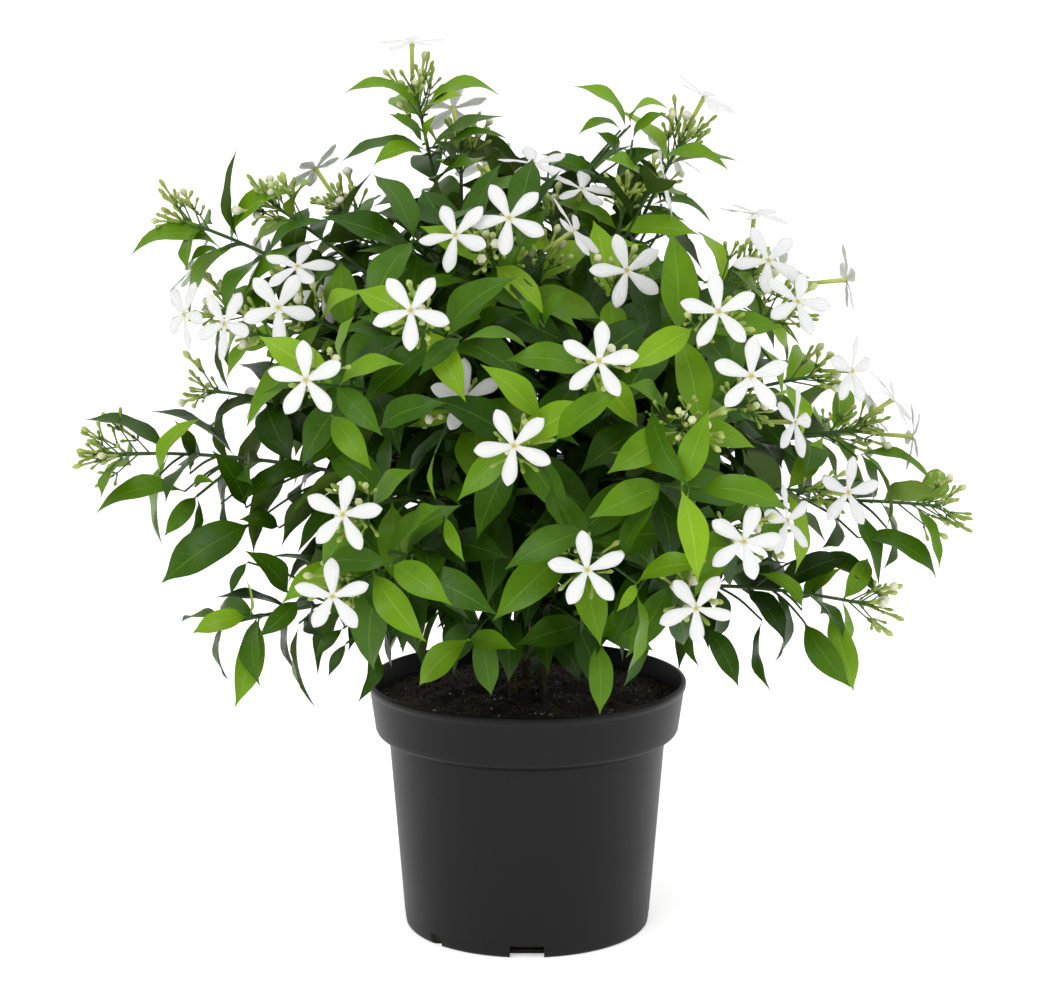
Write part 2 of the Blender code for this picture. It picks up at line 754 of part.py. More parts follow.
class Plant:
    """Places every piece of the plant in turn, so that none crosses one that stands already."""

    def __init__(self):
        self.draw = random.Random(SEED)
        self.crowd = Crowd()
        self.shoots = {}
        self.twigs = {}
        self.tips = tip_rows()
        self.blooms = []

    def grow(self):
        self.place_axes()
        self.place_blooms()
        self.place_twigs()
        self.place_buds()
        self.place_leaves()

    def join(self, azimuth, body, owner):
        self.shoots.setdefault(azimuth, []).append(body)
        self.crowd.add(body, owner)

    def place_axes(self):
        for stem in STEMS:
            for azimuth in stem["shoots"]:
                axis = tube(axis_points(azimuth), [r * MM for r in AXIS_RADII], AXIS_SIDES)
                self.join(azimuth, axis, "axis")
            for body in stem_bodies(stem):
                self.crowd.add(body, "stem")

    def place_blooms(self):
        for tip, place, azimuth, elevation, spin in bloom_rows(self.draw, self.tips):
            aim = facing(azimuth, elevation)
            body = bloom(to_vector(place), aim, spin, self.draw)
            self.crowd.add(body, "bloom")
            self.blooms.append((tip, to_vector(place) - aim * (TUBE_LENGTH + GAP) * MM, aim, body))

    def place_twigs(self):
        """The twigs, and the flower stalks that grow from them."""
        steps = [i / TWIG_STEPS for i in range(TWIG_STEPS + 1)]
        radii = [(TWIG_FOOT_RADIUS + (TWIG_TIP_RADIUS - TWIG_FOOT_RADIUS) * t) * MM for t in steps]
        for tip, row in self.tips.items():
            end = to_vector(row[0])
            turn = math.degrees(math.atan2(end.y, end.x))
            azimuth = min(self.shoots, key=lambda a: angle_apart(a, turn))
            path = twig_path(azimuth, end)
            self.join(azimuth, tube(path, radii, TWIG_SIDES), f"twig {tip}")
            self.twigs[tip] = (azimuth, path)
        for tip, foot, aim, _ in self.blooms:
            azimuth, path = self.twigs[tip]
            self.join(azimuth, stalk(path, foot, aim), "stalk")

    def place_buds(self):
        for tip, row in self.tips.items():
            azimuth, path = self.twigs[tip]
            turn = self.draw.uniform(0, 360)
            for i in range(row[2]):
                spin = turn + 180 * i + 75 * (i // 2)
                body = self.free_bud(tip, walk_back(path, (i // 2) * CYME_LENGTH / 3 * MM), spin)
                if body:
                    self.join(azimuth, body, "bud")

    def free_bud(self, tip, spot, spin):
        root, along = spot
        for _ in range(TRIES):
            turn = math.radians(spin + self.draw.uniform(-40, 40))
            side = Matrix.Rotation(turn, 3, along) @ across(along)
            aim = (along + side * self.draw.uniform(0.25, 0.9)).normalized()
            aim = (aim + UP * 0.2).normalized()
            length = self.draw.uniform(*BUD_LENGTH) * MM
            if not self.crowd.crossed(bud(root, aim, length, BUD_CLEARANCE * MM), f"twig {tip}"):
                return bud(root - aim * BUD_SUNK * MM, aim, length)
        return None

    def place_leaves(self):
        for tip, (_, pairs, buds) in self.tips.items():
            azimuth, path = self.twigs[tip]
            turn = self.draw.uniform(0, 180)
            back = CYME_LENGTH + 3 if buds else 2
            for pair in range(pairs):
                spot = walk_back(path, (back + pair * PAIR_STEP) * MM)
                if spot is None:
                    break
                for half in range(2):
                    size = 1.0 if pair else YOUNG_SIZE
                    body = self.free_leaf(tip, spot, turn + 90 * pair + 180 * half, size)
                    if body:
                        self.join(azimuth, body, "leaf")

    def free_leaf(self, tip, spot, spin, size):
        """A leaf that touches nothing but its twig. Each try after the first is turned and shrunk more."""
        draw = self.draw
        root, along = spot
        for attempt in range(TRIES):
            loosen = attempt / TRIES
            turn = math.radians(spin + draw.uniform(-12, 12) * (1 + 3 * loosen))
            side = Matrix.Rotation(turn, 3, along) @ across(along)
            aim = (along * draw.uniform(0.4, 0.85) + side + UP * draw.uniform(-0.25, 0.15)).normalized()
            face = across(aim, along * 0.55 + UP)
            length = draw.uniform(*LEAF_LENGTH) * size * (1 - 0.2 * loosen) * MM
            droop = draw.uniform(*LEAF_DROOP) + 0.4 * loosen * draw.uniform(-1, 1)
            stretch = draw.uniform(*LEAF_STRETCH)
            room = blade(root, aim, face, length, droop, stretch, LEAF_CLEARANCE * MM)
            if not meets_pot(room[0]) and not self.crowd.crossed(room, f"twig {tip}"):
                return blade(root - aim * LEAF_SUNK * MM, aim, face, length, droop, stretch)
        return None


def build():
    for old in list(bpy.data.objects):
        bpy.data.objects.remove(old)
    plastic = material("black plastic", (0.022, 0.022, 0.023), 0.42)
    mix = material("potting mix", (0.035, 0.020, 0.012), 0.95)
    bark = material("brown bark", (0.12, 0.085, 0.045), 0.8)
    green = material("leaf green", (0.045, 0.13, 0.02), 0.38)
    white = material("white petal", (0.86, 0.87, 0.84), 0.55)
    make_pot(plastic)
    make_soil(mix)
    for i, stem in enumerate(STEMS):
        fuse(f"stem_{i + 1}", stem_bodies(stem), bark)
    plant = Plant()
    plant.grow()
    for i, bodies in enumerate(plant.shoots.values()):
        fuse(f"shoot_{i + 1}", bodies, green, thin=True)
    for i, (_, _, _, body) in enumerate(plant.blooms):
        make_object(f"bloom_{i + 1:02d}", body, white)


build()
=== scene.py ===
import math
import random

import bmesh
import bpy
import numpy as np
from mathutils import Matrix, Vector, noise
from mathutils.bvhtree import BVHTree
from mathutils.geometry import intersect_point_line


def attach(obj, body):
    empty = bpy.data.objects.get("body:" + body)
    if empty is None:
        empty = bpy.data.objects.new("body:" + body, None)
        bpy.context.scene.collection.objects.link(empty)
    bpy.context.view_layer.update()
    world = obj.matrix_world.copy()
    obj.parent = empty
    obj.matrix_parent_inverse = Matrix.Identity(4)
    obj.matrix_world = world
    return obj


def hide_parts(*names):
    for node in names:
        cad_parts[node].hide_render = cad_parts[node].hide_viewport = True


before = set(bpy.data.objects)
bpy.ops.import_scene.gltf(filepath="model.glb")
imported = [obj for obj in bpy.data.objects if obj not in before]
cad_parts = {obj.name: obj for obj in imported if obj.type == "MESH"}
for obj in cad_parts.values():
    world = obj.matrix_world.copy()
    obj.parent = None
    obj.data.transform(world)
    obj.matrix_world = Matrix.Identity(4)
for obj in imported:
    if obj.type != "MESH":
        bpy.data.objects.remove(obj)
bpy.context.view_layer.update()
mm = 0.001
up = Vector((0, 0, 1))
fullTurn = 6.28  # radians

# Camera, light and floor: places and sizes in metres, apart from the lens and its sensor
studio = {
    "cameraPlace": (0.0006, -1.8454, 0.6282),
    "cameraPitch": 10.85,  # degrees below the horizon
    "lens": 103.0,
    "sensor": 36,
    # Light from the front, and how much more from behind, from above and from the right
    "worldLight": (0.32, 0.25, 0.55, 0.06),
    "keyPlace": (-0.8, -1.8, 2.1),
    "keySize": 1.6,
    "keyPower": 30,
    "fillPlace": (1.6, -0.6, 1.6),
    "fillSize": 1.6,
    "fillPower": 8,
    "floorGlow": 0.45,
    "aimAt": (0, 0, 0.3),
    "floorReach": 60,
}


# One output socket, so that node maths reads as plain expressions
class Wire:
    def __init__(self, graph, socket):
        self.graph = graph
        self.socket = socket

    def __add__(self, other):
        return self.graph.calc("ADD", self, other)

    def __sub__(self, other):
        return self.graph.calc("SUBTRACT", self, other)

    def __rsub__(self, other):
        return self.graph.calc("SUBTRACT", other, self)

    def __mul__(self, other):
        return self.graph.calc("MULTIPLY", self, other)

    def __truediv__(self, other):
        return self.graph.calc("DIVIDE", self, other)

    def __neg__(self):
        return self.graph.calc("MULTIPLY", self, -1)

    def __abs__(self):
        return self.graph.calc("ABSOLUTE", self)

    __radd__ = __add__
    __rmul__ = __mul__


class Graph:
    def __init__(self, tree):
        self.tree = tree
        tree.nodes.clear()

    # A node of any type: settings come first, then the values or links of its sockets
    def add(self, kind, settings=None, inputs=None, out=0):
        made = self.tree.nodes.new(kind)
        for name, value in (settings or {}).items():
            if name == "stops":
                self.setStops(made.color_ramp, value)
            else:
                setattr(made, name, value)
        for name, value in (inputs or {}).items():
            if isinstance(value, Wire):
                self.tree.links.new(value.socket, made.inputs[name])
            elif value is not None:
                made.inputs[name].default_value = value
        return Wire(self, made.outputs[out]) if len(made.outputs) else made

    def setStops(self, ramp, stops):
        while len(ramp.elements) < len(stops):
            ramp.elements.new(0.5)
        for element, (place, colour) in zip(ramp.elements, stops):
            element.position = place
            element.color = (*colour, 1)

    def calc(self, operation, *values):
        return self.add("ShaderNodeMath", {"operation": operation}, dict(enumerate(values)))

    def clamp(self, value):
        return self.add("ShaderNodeClamp", {}, {"Value": value})

    def vector(self, operation, *values):
        return self.add("ShaderNodeVectorMath", {"operation": operation}, dict(enumerate(values)))

    def scaled(self, value, factor):
        return self.add("ShaderNodeVectorMath", {"operation": "SCALE"}, {0: value, "Scale": factor})

    def split(self, value):
        first = self.add("ShaderNodeSeparateXYZ", {}, {0: value})
        return [Wire(self, socket) for socket in first.socket.node.outputs]

    def blend(self, factor, a, b):
        sides = {"Factor": factor, 6: self.rgba(a), 7: self.rgba(b)}
        return self.add("ShaderNodeMix", {"data_type": "RGBA"}, sides, 2)

    def rgba(self, colour):
        return colour if isinstance(colour, Wire) else (*colour, 1)

    def ramp(self, factor, *stops):
        return self.add("ShaderNodeValToRGB", {"stops": stops}, {"Fac": factor})

    def noise(self, scale, detail=3, stretch=None):
        place = self.add("ShaderNodeTexCoord", {}, {}, "Object")
        if stretch:
            place = self.add("ShaderNodeMapping", {}, {"Vector": place, "Scale": stretch})
        return self.add("ShaderNodeTexNoise", {}, {"Vector": place, "Scale": scale, "Detail": detail})

    def trait(self, name, out="Fac"):
        return self.add("ShaderNodeAttribute", {"attribute_name": name}, {}, out)

    def named(self, name, kind="FLOAT"):
        return self.add("GeometryNodeInputNamedAttribute", {"data_type": kind}, {"Name": name})


# A material whose Principled shader gets its constants here and its patterns from paint(graph)
def makeFinish(name, paint, **constants):
    finish = bpy.data.materials.new(name)
    finish.use_nodes = True
    graph = Graph(finish.node_tree)
    inputs = paint(graph)
    height = inputs.pop("Height", None)
    if height:
        bump = {"Height": height, "Distance": inputs.pop("Depth"), "Strength": 1.0}
        inputs["Normal"] = graph.add("ShaderNodeBump", {}, bump)
    shader = graph.add("ShaderNodeBsdfPrincipled", {}, {**inputs, **constants})
    graph.add("ShaderNodeOutputMaterial", {}, {"Surface": shader})
    return finish


# Plain colours, and ramps as stops with their places
colours = {
    "plastic": (0.0045, 0.0045, 0.0047),
    "plasticDust": (0.013, 0.012, 0.010),
    "soil": (
        (0.30, (0.0045, 0.0022, 0.0014)), (0.55, (0.021, 0.0085, 0.0045)), (0.72, (0.060, 0.024, 0.011)),
    ),
    "soilPatch": (0.012, 0.006, 0.004),
    "chips": (
        (0.0, (0.006, 0.0035, 0.0025)), (0.55, (0.036, 0.014, 0.007)),
        (0.82, (0.16, 0.070, 0.024)), (1.0, (0.30, 0.17, 0.06)),
    ),
    "chipFibre": (0.010, 0.006, 0.004),
    "perlite": ((0.3, (0.34, 0.31, 0.27)), (0.6, (0.70, 0.68, 0.64))),
    "bark": ((0.32, (0.030, 0.022, 0.012)), (0.55, (0.095, 0.070, 0.036)), (0.75, (0.20, 0.16, 0.095))),
    "barkSpot": (0.26, 0.23, 0.17),
    # From young to old
    "twig": (
        (0.0, (0.095, 0.19, 0.028)), (0.35, (0.035, 0.085, 0.016)),
        (0.7, (0.050, 0.058, 0.018)), (1.0, (0.085, 0.062, 0.030)),
    ),
    # From old or shaded leaves to young ones in the light
    "leaf": (
        (0.0, (0.010, 0.031, 0.002)), (0.25, (0.024, 0.072, 0.002)), (0.5, (0.058, 0.150, 0.004)),
        (0.75, (0.135, 0.275, 0.006)), (1.0, (0.225, 0.395, 0.014)),
    ),
    "vein": ((0.0, (0.055, 0.120, 0.020)), (0.6, (0.16, 0.32, 0.03)), (1.0, (0.42, 0.60, 0.09))),
    "leafBack": ((0.0, (0.040, 0.082, 0.014)), (0.5, (0.115, 0.20, 0.024)), (1.0, (0.30, 0.42, 0.05))),
    # From green buds to ripe ones
    "budStalk": (0.062, 0.110, 0.018),
    "budCup": (0.085, 0.150, 0.018),
    "budNeck": ((0.0, (0.24, 0.33, 0.045)), (1.0, (0.52, 0.56, 0.15))),
    "budHead": (
        (0.0, (0.25, 0.35, 0.050)), (0.35, (0.46, 0.54, 0.15)),
        (0.65, (0.70, 0.70, 0.42)), (1.0, (0.80, 0.78, 0.68)),
    ),
    "budMottle": (0.10, 0.19, 0.03),
    # The petals' white, and the grey of painted shade in their crinkles and middle groove
    "petal": (0.77, 0.77, 0.77),
    "petalShade": (0.64, 0.65, 0.64),
    "throat": (0.72, 0.71, 0.40),
    # From the flower tube's foot to its mouth, where the darker last stop is painted shade in the tube's
    # opening
    "flowerTube": (
        (0.0, (0.20, 0.30, 0.045)), (0.5, (0.46, 0.53, 0.10)),
        (0.93, (0.58, 0.62, 0.22)), (1.0, (0.50, 0.44, 0.12)),
    ),
    "tubeStreak": (0.34, 0.42, 0.07),
    "floor": (0.955, 0.955, 0.955),
    "floorCloud": (0.94, 0.94, 0.94),
}


# A finish's colour, its roughness, and its relief with the relief's depth in metres
def coat(base, roughness, height, depth):
    return {"Base Color": base, "Roughness": roughness, "Height": height, "Depth": depth}


def paintPlastic(graph):
    grain = graph.noise(900, 2)
    cloud = graph.noise(14, 4)
    height = graph.split(graph.add("ShaderNodeTexCoord", {}, {}, "Object"))[2]
    dust = graph.clamp(1 - height / 0.03) * cloud * 0.35
    base = graph.blend(dust, colours["plastic"], colours["plasticDust"])
    return coat(base, 0.36 + cloud * 0.14 + dust * 0.3, grain, 0.00006)


def paintSoil(graph):
    clods = graph.noise(160, 6)
    patches = graph.noise(38, 3)
    damp = graph.ramp(clods, *colours["soil"])
    base = graph.blend(graph.clamp(patches * 2 - 0.7), damp, colours["soilPatch"])
    return coat(base, 0.82 + clods * 0.15, clods, 0.0012)


def paintChips(graph):
    fibres = graph.noise(420, 4)
    base = graph.blend(fibres * 0.5, graph.ramp(graph.trait("tone"), *colours["chips"]), colours["chipFibre"])
    return coat(base, 0.8 + fibres * 0.15, fibres, 0.0003)


def paintPerlite(graph):
    pores = graph.noise(900, 4)
    return coat(graph.ramp(pores, *colours["perlite"]), 0.75 + pores * 0.2, pores, 0.0004)


def paintBark(graph):
    ridges = graph.noise(150, 5, (3.0, 3.0, 0.5))
    spots = graph.noise(330, 3)
    wood = graph.ramp(ridges, *colours["bark"])
    base = graph.blend(graph.clamp(spots * 3 - 1.75), wood, colours["barkSpot"])
    return coat(base, 0.72 + ridges * 0.2, ridges, 0.0009)


def paintTwig(graph):
    streaks = graph.noise(260, 4)
    base = graph.ramp(graph.trait("tone") + (streaks - 0.5) * 0.25, *colours["twig"])
    return coat(base, 0.45 + streaks * 0.25, streaks, 0.0003)


# A glossy blade with a pale midrib and side veins, and a duller, paler back
def paintLeaf(graph):
    along, side, face = graph.split(graph.trait("local", "Vector"))
    tone = graph.trait("tone")
    mottle = graph.noise(60, 4)
    fine = graph.noise(700, 2)
    width = abs(side)
    midrib = graph.clamp(1 - width / 0.06)
    sweep = graph.calc("PINGPONG", along * 8.5 - width * 1.35, 0.5)
    veins = graph.clamp(1 - sweep / 0.075) * graph.clamp(1.05 - width)
    under = graph.clamp(face * -6)
    blade = graph.ramp(tone + (mottle - 0.5) * 0.22, *colours["leaf"])
    veined = graph.blend(midrib * 0.65 + veins * 0.18, blade, graph.ramp(tone, *colours["vein"]))
    base = graph.blend(under, veined, graph.ramp(tone, *colours["leafBack"]))
    relief = fine * 0.2 - midrib * 0.25 - veins * 0.3
    return coat(base, 0.24 + mottle * 0.14 + under * 0.30, relief, 0.0004)


# Stalk, cup, neck and head follow each other along a bud
def paintBud(graph):
    along = graph.split(graph.trait("local", "Vector"))[0]
    ripe = graph.trait("tone")
    mottle = graph.noise(300, 3)
    neck = graph.ramp(ripe, *colours["budNeck"])
    head = graph.ramp(ripe, *colours["budHead"])
    base = graph.blend(graph.clamp(along * 25 - 4.4), colours["budStalk"], colours["budCup"])
    base = graph.blend(graph.clamp(along * 20 - 5.4), base, neck)
    base = graph.blend(graph.clamp(along * 14 - 9.6), base, head)
    return coat(graph.blend(mottle * 0.22, base, colours["budMottle"]), 0.42 + mottle * 0.16, mottle, 0.0002)


def paintPetal(graph):
    along, side, _ = graph.split(graph.trait("local", "Vector"))
    crinkleAndShade = graph.noise(220, 4)
    ribs = graph.calc("PINGPONG", side * 3.2, 0.5)
    throat = graph.clamp(1.25 - along * 9)
    grooveAndShade = graph.clamp(1 - abs(side) / 0.16)
    # Grey painted shade in the crinkles and along the middle groove, which also shape the relief
    shadedWhite = graph.blend(crinkleAndShade * 0.5 + grooveAndShade * 0.1, colours["petal"], colours["petalShade"])
    base = graph.blend(throat, shadedWhite, colours["throat"])
    return coat(base, 0.48 + crinkleAndShade * 0.2, crinkleAndShade * 0.5 + ribs * 0.3 - grooveAndShade * 0.2, 0.0005)


def paintTube(graph):
    streaks = graph.noise(420, 3)
    # The tube's mouth is darkened with painted shade in its opening
    base = graph.ramp(graph.trait("tone"), *colours["flowerTube"])
    base = graph.blend(streaks * 0.25, base, colours["tubeStreak"])
    return coat(base, 0.45 + streaks * 0.2, streaks, 0.0002)


def paintFloor(graph):
    cloud = graph.noise(0.8, 2)
    base = graph.blend(cloud * 0.3, colours["floor"], colours["floorCloud"])
    return {"Base Color": base, "Roughness": 0.85 + cloud * 0.05}


def makeStudio():
    lens = bpy.data.cameras.new("camera")
    lens.lens = studio["lens"]
    lens.sensor_width = studio["sensor"]
    camera = bpy.data.objects.new("camera", lens)
    camera.location = studio["cameraPlace"]
    camera.rotation_euler = (math.radians(90 - studio["cameraPitch"]), 0, 0)
    bpy.context.scene.collection.objects.link(camera)
    bpy.context.scene.camera = camera
    bpy.context.scene.view_settings.view_transform = "Standard"

    world = bpy.data.worlds.new("softStudio")
    world.use_nodes = True
    sky = Graph(world.node_tree)
    front, behind, above, right = studio["worldLight"]
    sideways, forward, rise = sky.split(sky.add("ShaderNodeTexCoord", {}, {}, "Generated"))
    glow = (forward * 0.5 + 0.5) * behind + sky.calc("MAXIMUM", rise, 0) * above + sideways * right + front
    light = sky.add("ShaderNodeBackground", {}, {"Color": (1, 1, 1, 1), "Strength": glow})
    sky.add("ShaderNodeOutputWorld", {}, {"Surface": light})
    bpy.context.scene.world = world

    for name in ("key", "fill"):
        lamp = bpy.data.lights.new(name, "AREA")
        lamp.energy = studio[name + "Power"]
        lamp.size = studio[name + "Size"]
        light = bpy.data.objects.new(name, lamp)
        light.location = studio[name + "Place"]
        aim = Vector(studio["aimAt"]) - light.location
        light.rotation_euler = aim.to_track_quat("-Z", "Y").to_euler()
        bpy.context.scene.collection.objects.link(light)

    reach = studio["floorReach"]
    mesh = bpy.data.meshes.new("floor")
    corners = [(-reach, -reach, 0), (reach, -reach, 0), (reach, reach, 0), (-reach, reach, 0)]
    mesh.from_pydata(corners, [], [(0, 1, 2, 3)])
    floor = bpy.data.objects.new("floor", mesh)
    bpy.context.scene.collection.objects.link(floor)
    return floor


pot = {
    "rings": 144,
    "height": 158,
    "rimRadius": 100,
    "rimWall": 2.8,
    "footRadius": 77.2,
    "bodyTop": (87, 122.5),
    "bandFoot": (95.3, 125.5),
    "wall": 1.9,
    "bandWall": 2.1,
    "floor": 2.5,
    "notch": (21, 8, 10),  # wide, high, deep
    "notchTurns": (-90, 0, 90, 180),
    "slot": 7,
    "slotTurns": (-137, 43),
}

soil = {
    "gap": 0.3,
    "height": 146,
    "wallShare": 0.55,  # how far up the leaning wall of the band the soil meets it
    "mound": 1.6,
    "crown": 2.5,
    "moundReach": 92,
    "crumb": 1.3,
    "crumbScale": 0.13,
    "notchRoom": 0.8,
    "sides": 120,
    "topSteps": 46,
    "middleRing": 1.2,
}


def addObject(name, mesh):
    made = bpy.data.objects.new(name, mesh)
    bpy.context.scene.collection.objects.link(made)
    return made


def meshOf(name, points, faces):
    mesh = bpy.data.meshes.new(name)
    mesh.from_pydata([tuple(p) for p in points], [], faces)
    mesh.update()
    return mesh


# Four-cornered faces between rings that have as many points each
def ringFaces(rings, sides):
    faces = []
    for low in range(0, (rings - 1) * sides, sides):
        for k in range(sides):
            j = (k + 1) % sides
            faces.append((low + k, low + j, low + sides + j, low + sides + k))
    return faces


# The profile runs as (radius, height) from the underside's rim round to the inside's last ring
def latheMesh(name, profile, sides, height=None):
    points = []
    for radius, level in profile:
        for k in range(sides):
            a = 2 * math.pi * k / sides
            x, y = radius * math.cos(a), radius * math.sin(a)
            z = level if height is None else level + height(x, y)
            points.append((x * mm, y * mm, z * mm))
    last = (len(profile) - 1) * sides
    caps = [tuple(range(sides - 1, -1, -1)), tuple(last + k for k in range(sides))]
    return meshOf(name, points, ringFaces(len(profile), sides) + caps)


# A square block for a cut, with a side to the pot's axis, or a corner where it is spun by 45 degrees
def cornerBlock(turn, reach, size, height, spin=0.0):
    corner = size / math.sqrt(2)
    block = addObject("block", latheMesh("block", [(corner, -2), (corner, height)], 4))
    block.data.transform(Matrix.Rotation(math.radians(45 + spin), 4, "Z"))
    block.data.transform(Matrix.Translation((reach * mm, 0, 0)))
    block.data.transform(Matrix.Rotation(math.radians(turn), 4, "Z"))
    return block


# Applies the modifiers of a piece and drops them
def settle(piece):
    mesh = bpy.data.meshes.new_from_object(piece.evaluated_get(bpy.context.evaluated_depsgraph_get()))
    piece.modifiers.clear()
    piece.data = mesh


crispAngles = {"pot": 35, "soil": 60, "stem": 50, "shoot": 75, "flower": 75, "grains": 60}


# Smooth shading with crisp edges where faces meet at more than the angle, and normals outward
def dress(piece, finish, angle):
    shape = bmesh.new()
    shape.from_mesh(piece.data)
    bmesh.ops.recalc_face_normals(shape, faces=shape.faces)
    shape.to_mesh(piece.data)
    shape.free()
    if finish:
        piece.data.materials.clear()
        piece.data.materials.append(finish)
    piece.data.shade_smooth()
    piece.data.set_sharp_from_angle(angle=math.radians(angle))


def cutNotches(piece, room, slots):
    wide, high, deep = pot["notch"]
    reach = pot["footRadius"] - deep + wide / 2 - room
    blocks = [cornerBlock(turn, reach, wide + 2 * room, high + room) for turn in pot["notchTurns"]]
    if slots:
        size = pot["slot"]
        blocks += [cornerBlock(turn, pot["footRadius"], size, size, 45) for turn in pot["slotTurns"]]
    for block in blocks:
        step = piece.modifiers.new("notch", "BOOLEAN")
        step.operation = "DIFFERENCE"
        step.solver = "EXACT"
        step.object = block
    settle(piece)
    for block in blocks:
        bpy.data.objects.remove(block)


def makePot():
    foot, rim, top = pot["footRadius"], pot["rimRadius"], pot["height"]
    body, bodyHeight = pot["bodyTop"]
    band, bandHeight = pot["bandFoot"]
    lip = pot["rimWall"]
    profile = [
        (foot - 2.4, 0),
        (foot - 1.1, 0.35),
        (foot - 0.3, 1.3),
        (foot, 2.6),
        (foot + 0.5, 6),
        (foot + (body - foot) * 0.5, bodyHeight * 0.5),
        (body - 0.25, bodyHeight - 3),
        (body + 0.1, bodyHeight - 0.6),
        (body + 1.6, bodyHeight + 0.5),
        (band - 3.0, bandHeight - 0.8),
        (band - 0.9, bandHeight + 0.4),
        (band, bandHeight + 2.2),
        (band + 0.4, bandHeight + 5),
        (rim - 1.3, top - 6.2),
        (rim - 0.95, top - 4.6),
        (rim - 0.25, top - 3.9),
        (rim, top - 2.8),
        (rim, top - 1.2),
        (rim - 0.5, top - 0.3),
        (rim - 1.3, top),
        (rim - lip + 0.4, top),
        (rim - lip, top - 0.6),
        (band - pot["bandWall"], bandHeight + 3),
        (body - pot["wall"], bandHeight - 1.5),
        (foot - pot["wall"], pot["floor"]),
    ]
    piece = addObject("potShell", latheMesh("potShell", profile, pot["rings"]))
    cutNotches(piece, 0, True)
    finish = makeFinish("satinPlastic", paintPlastic, **{"Specular IOR Level": 0.20})
    dress(piece, finish, crispAngles["pot"])
    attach(piece, "root")
    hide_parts("pot")
    print("pot made")


def soilTop(x, y):
    fade = max(0.0, 1 - (math.hypot(x, y) / soil["moundReach"]) ** 2)
    mounds = math.sin(x * 0.11 + 1) * math.cos(y * 0.13) + 0.6 * math.sin(x * 0.23 - y * 0.19)
    return soil["mound"] * fade * mounds + soil["crown"] * fade


def makeSoil():
    def surface(x, y):
        crumbs = noise.fractal(Vector((x, y, 0)) * soil["crumbScale"], 0.9, 2.1, 5)
        return soilTop(x, y) + crumbs * soil["crumb"]

    gap, count, steps = soil["gap"], soil["sides"], soil["topSteps"]
    band, bandHeight = pot["bandFoot"]
    lean = pot["rimRadius"] - pot["rimWall"] - band + pot["bandWall"]
    wallTop = band - pot["bandWall"] + soil["wallShare"] * lean
    sides = [
        (pot["footRadius"] - pot["wall"] - gap, pot["floor"] + gap),
        (pot["bodyTop"][0] - pot["wall"] - gap, bandHeight - 1.5),
        (band - pot["bandWall"] - gap, bandHeight + 3),
    ]
    edge = wallTop - gap
    rings = [edge - i * (edge - soil["middleRing"]) / steps for i in range(steps + 1)]
    low = latheMesh("soilSide", sides, count)
    high = latheMesh("soilTop", [(r, soil["height"]) for r in rings], count, surface)
    # The side's last ring and the top's first ring are joined into one skin
    shape = bmesh.new()
    shape.from_mesh(low)
    shape.from_mesh(high)
    shape.faces.ensure_lookup_table()
    shape.verts.ensure_lookup_table()
    caps = [face for face in shape.faces if len(face.verts) == count]
    sideTop = [shape.verts[2 * count + k] for k in range(count)]
    topEdge = [shape.verts[3 * count + k] for k in range(count)]
    bmesh.ops.delete(shape, geom=caps[1:3], context="FACES_ONLY")
    for k in range(count):
        j = (k + 1) % count
        shape.faces.new((sideTop[k], sideTop[j], topEdge[j], topEdge[k]))
    mesh = bpy.data.meshes.new("soilBed")
    shape.to_mesh(mesh)
    shape.free()
    piece = addObject("soilBed", mesh)
    cutNotches(piece, soil["notchRoom"], False)
    dress(piece, makeFinish("pottingMix", paintSoil), crispAngles["soil"])
    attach(piece, "root")
    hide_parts("soil")
    print("soil made")
    return piece


# How the plant grows, by the same rule and seed as the solids, so that each fine leaf, bud and bloom lies
# where its solid does
plant = {
    "seed": 28,
    "stems": [
        {"foot": (-9, -5), "fork": (-10, -7, 172), "shoots": (-150, -95)},
        {"foot": (10, -2), "fork": (11, -2, 178), "shoots": (-35, 25)},
        {"foot": (-1, 11), "fork": (-1, 12, 170), "shoots": (85, 150)},
    ],
    "stemRadius": 2.8,
    "armRadius": 2.1,
    "armStraight": 9,
    "armBelow": 0.06,  # how far below the fork the second arm starts, as a share of the stem
    "stemTaper": 0.95,
    "armEnd": (17, 204),
    "axisReach": (52, 415),
    "axisRadii": (2.1, 1.9, 1.7, 1.4),
    "holeDepth": 26,
    "stemClear": 7,
    "twigRadii": (1.5, 1.0),
    "twigArch": 0.10,
    "twigLevel": (0.6, 85),
    "twigShares": (0.02, 0.97),
    "twigTones": (0.85, 0.25),  # from the axis to the tip, where 1 is old and 0 is young
    "axisTones": (1.0, 0.9, 0.75, 0.6),
    "cyme": 13,
    "pairStep": 21,
    "tries": 9,
    "mostBodies": 6000,
}

leaf = {
    "length": (47, 58),
    "young": 0.82,
    "wide": 0.36,
    "stretch": (0.92, 1.12),
    "droop": (0.45, 1.1),
    "fold": 0.24,
    "thick": 1.1,
    "roughOutline": [(0.15, 0.09), (0.40, 1.0), (0.72, 0.62)],
    "room": 0.45,
    "sunk": 0.35,
    "petiole": 0.62,
    "lowest": 120,
    "potRoom": (4, 3),
    "lean": (0.4, 0.85),
    "rise": (-0.25, 0.15),
    "faceForward": 0.55,  # how much a leaf's face turns along the twig
    "spread": 12,
    # How much freer each further try is: in its spread, its length and its droop
    "freer": (3, 0.2, 0.4),
}

budSize = {
    "length": (13, 20), "radii": (0.55, 1.7), "widest": 0.8, "room": 0.4, "sunk": 0.3,
    "turn": 75, "spread": 40, "lean": (0.25, 0.9), "rise": 0.2,
}

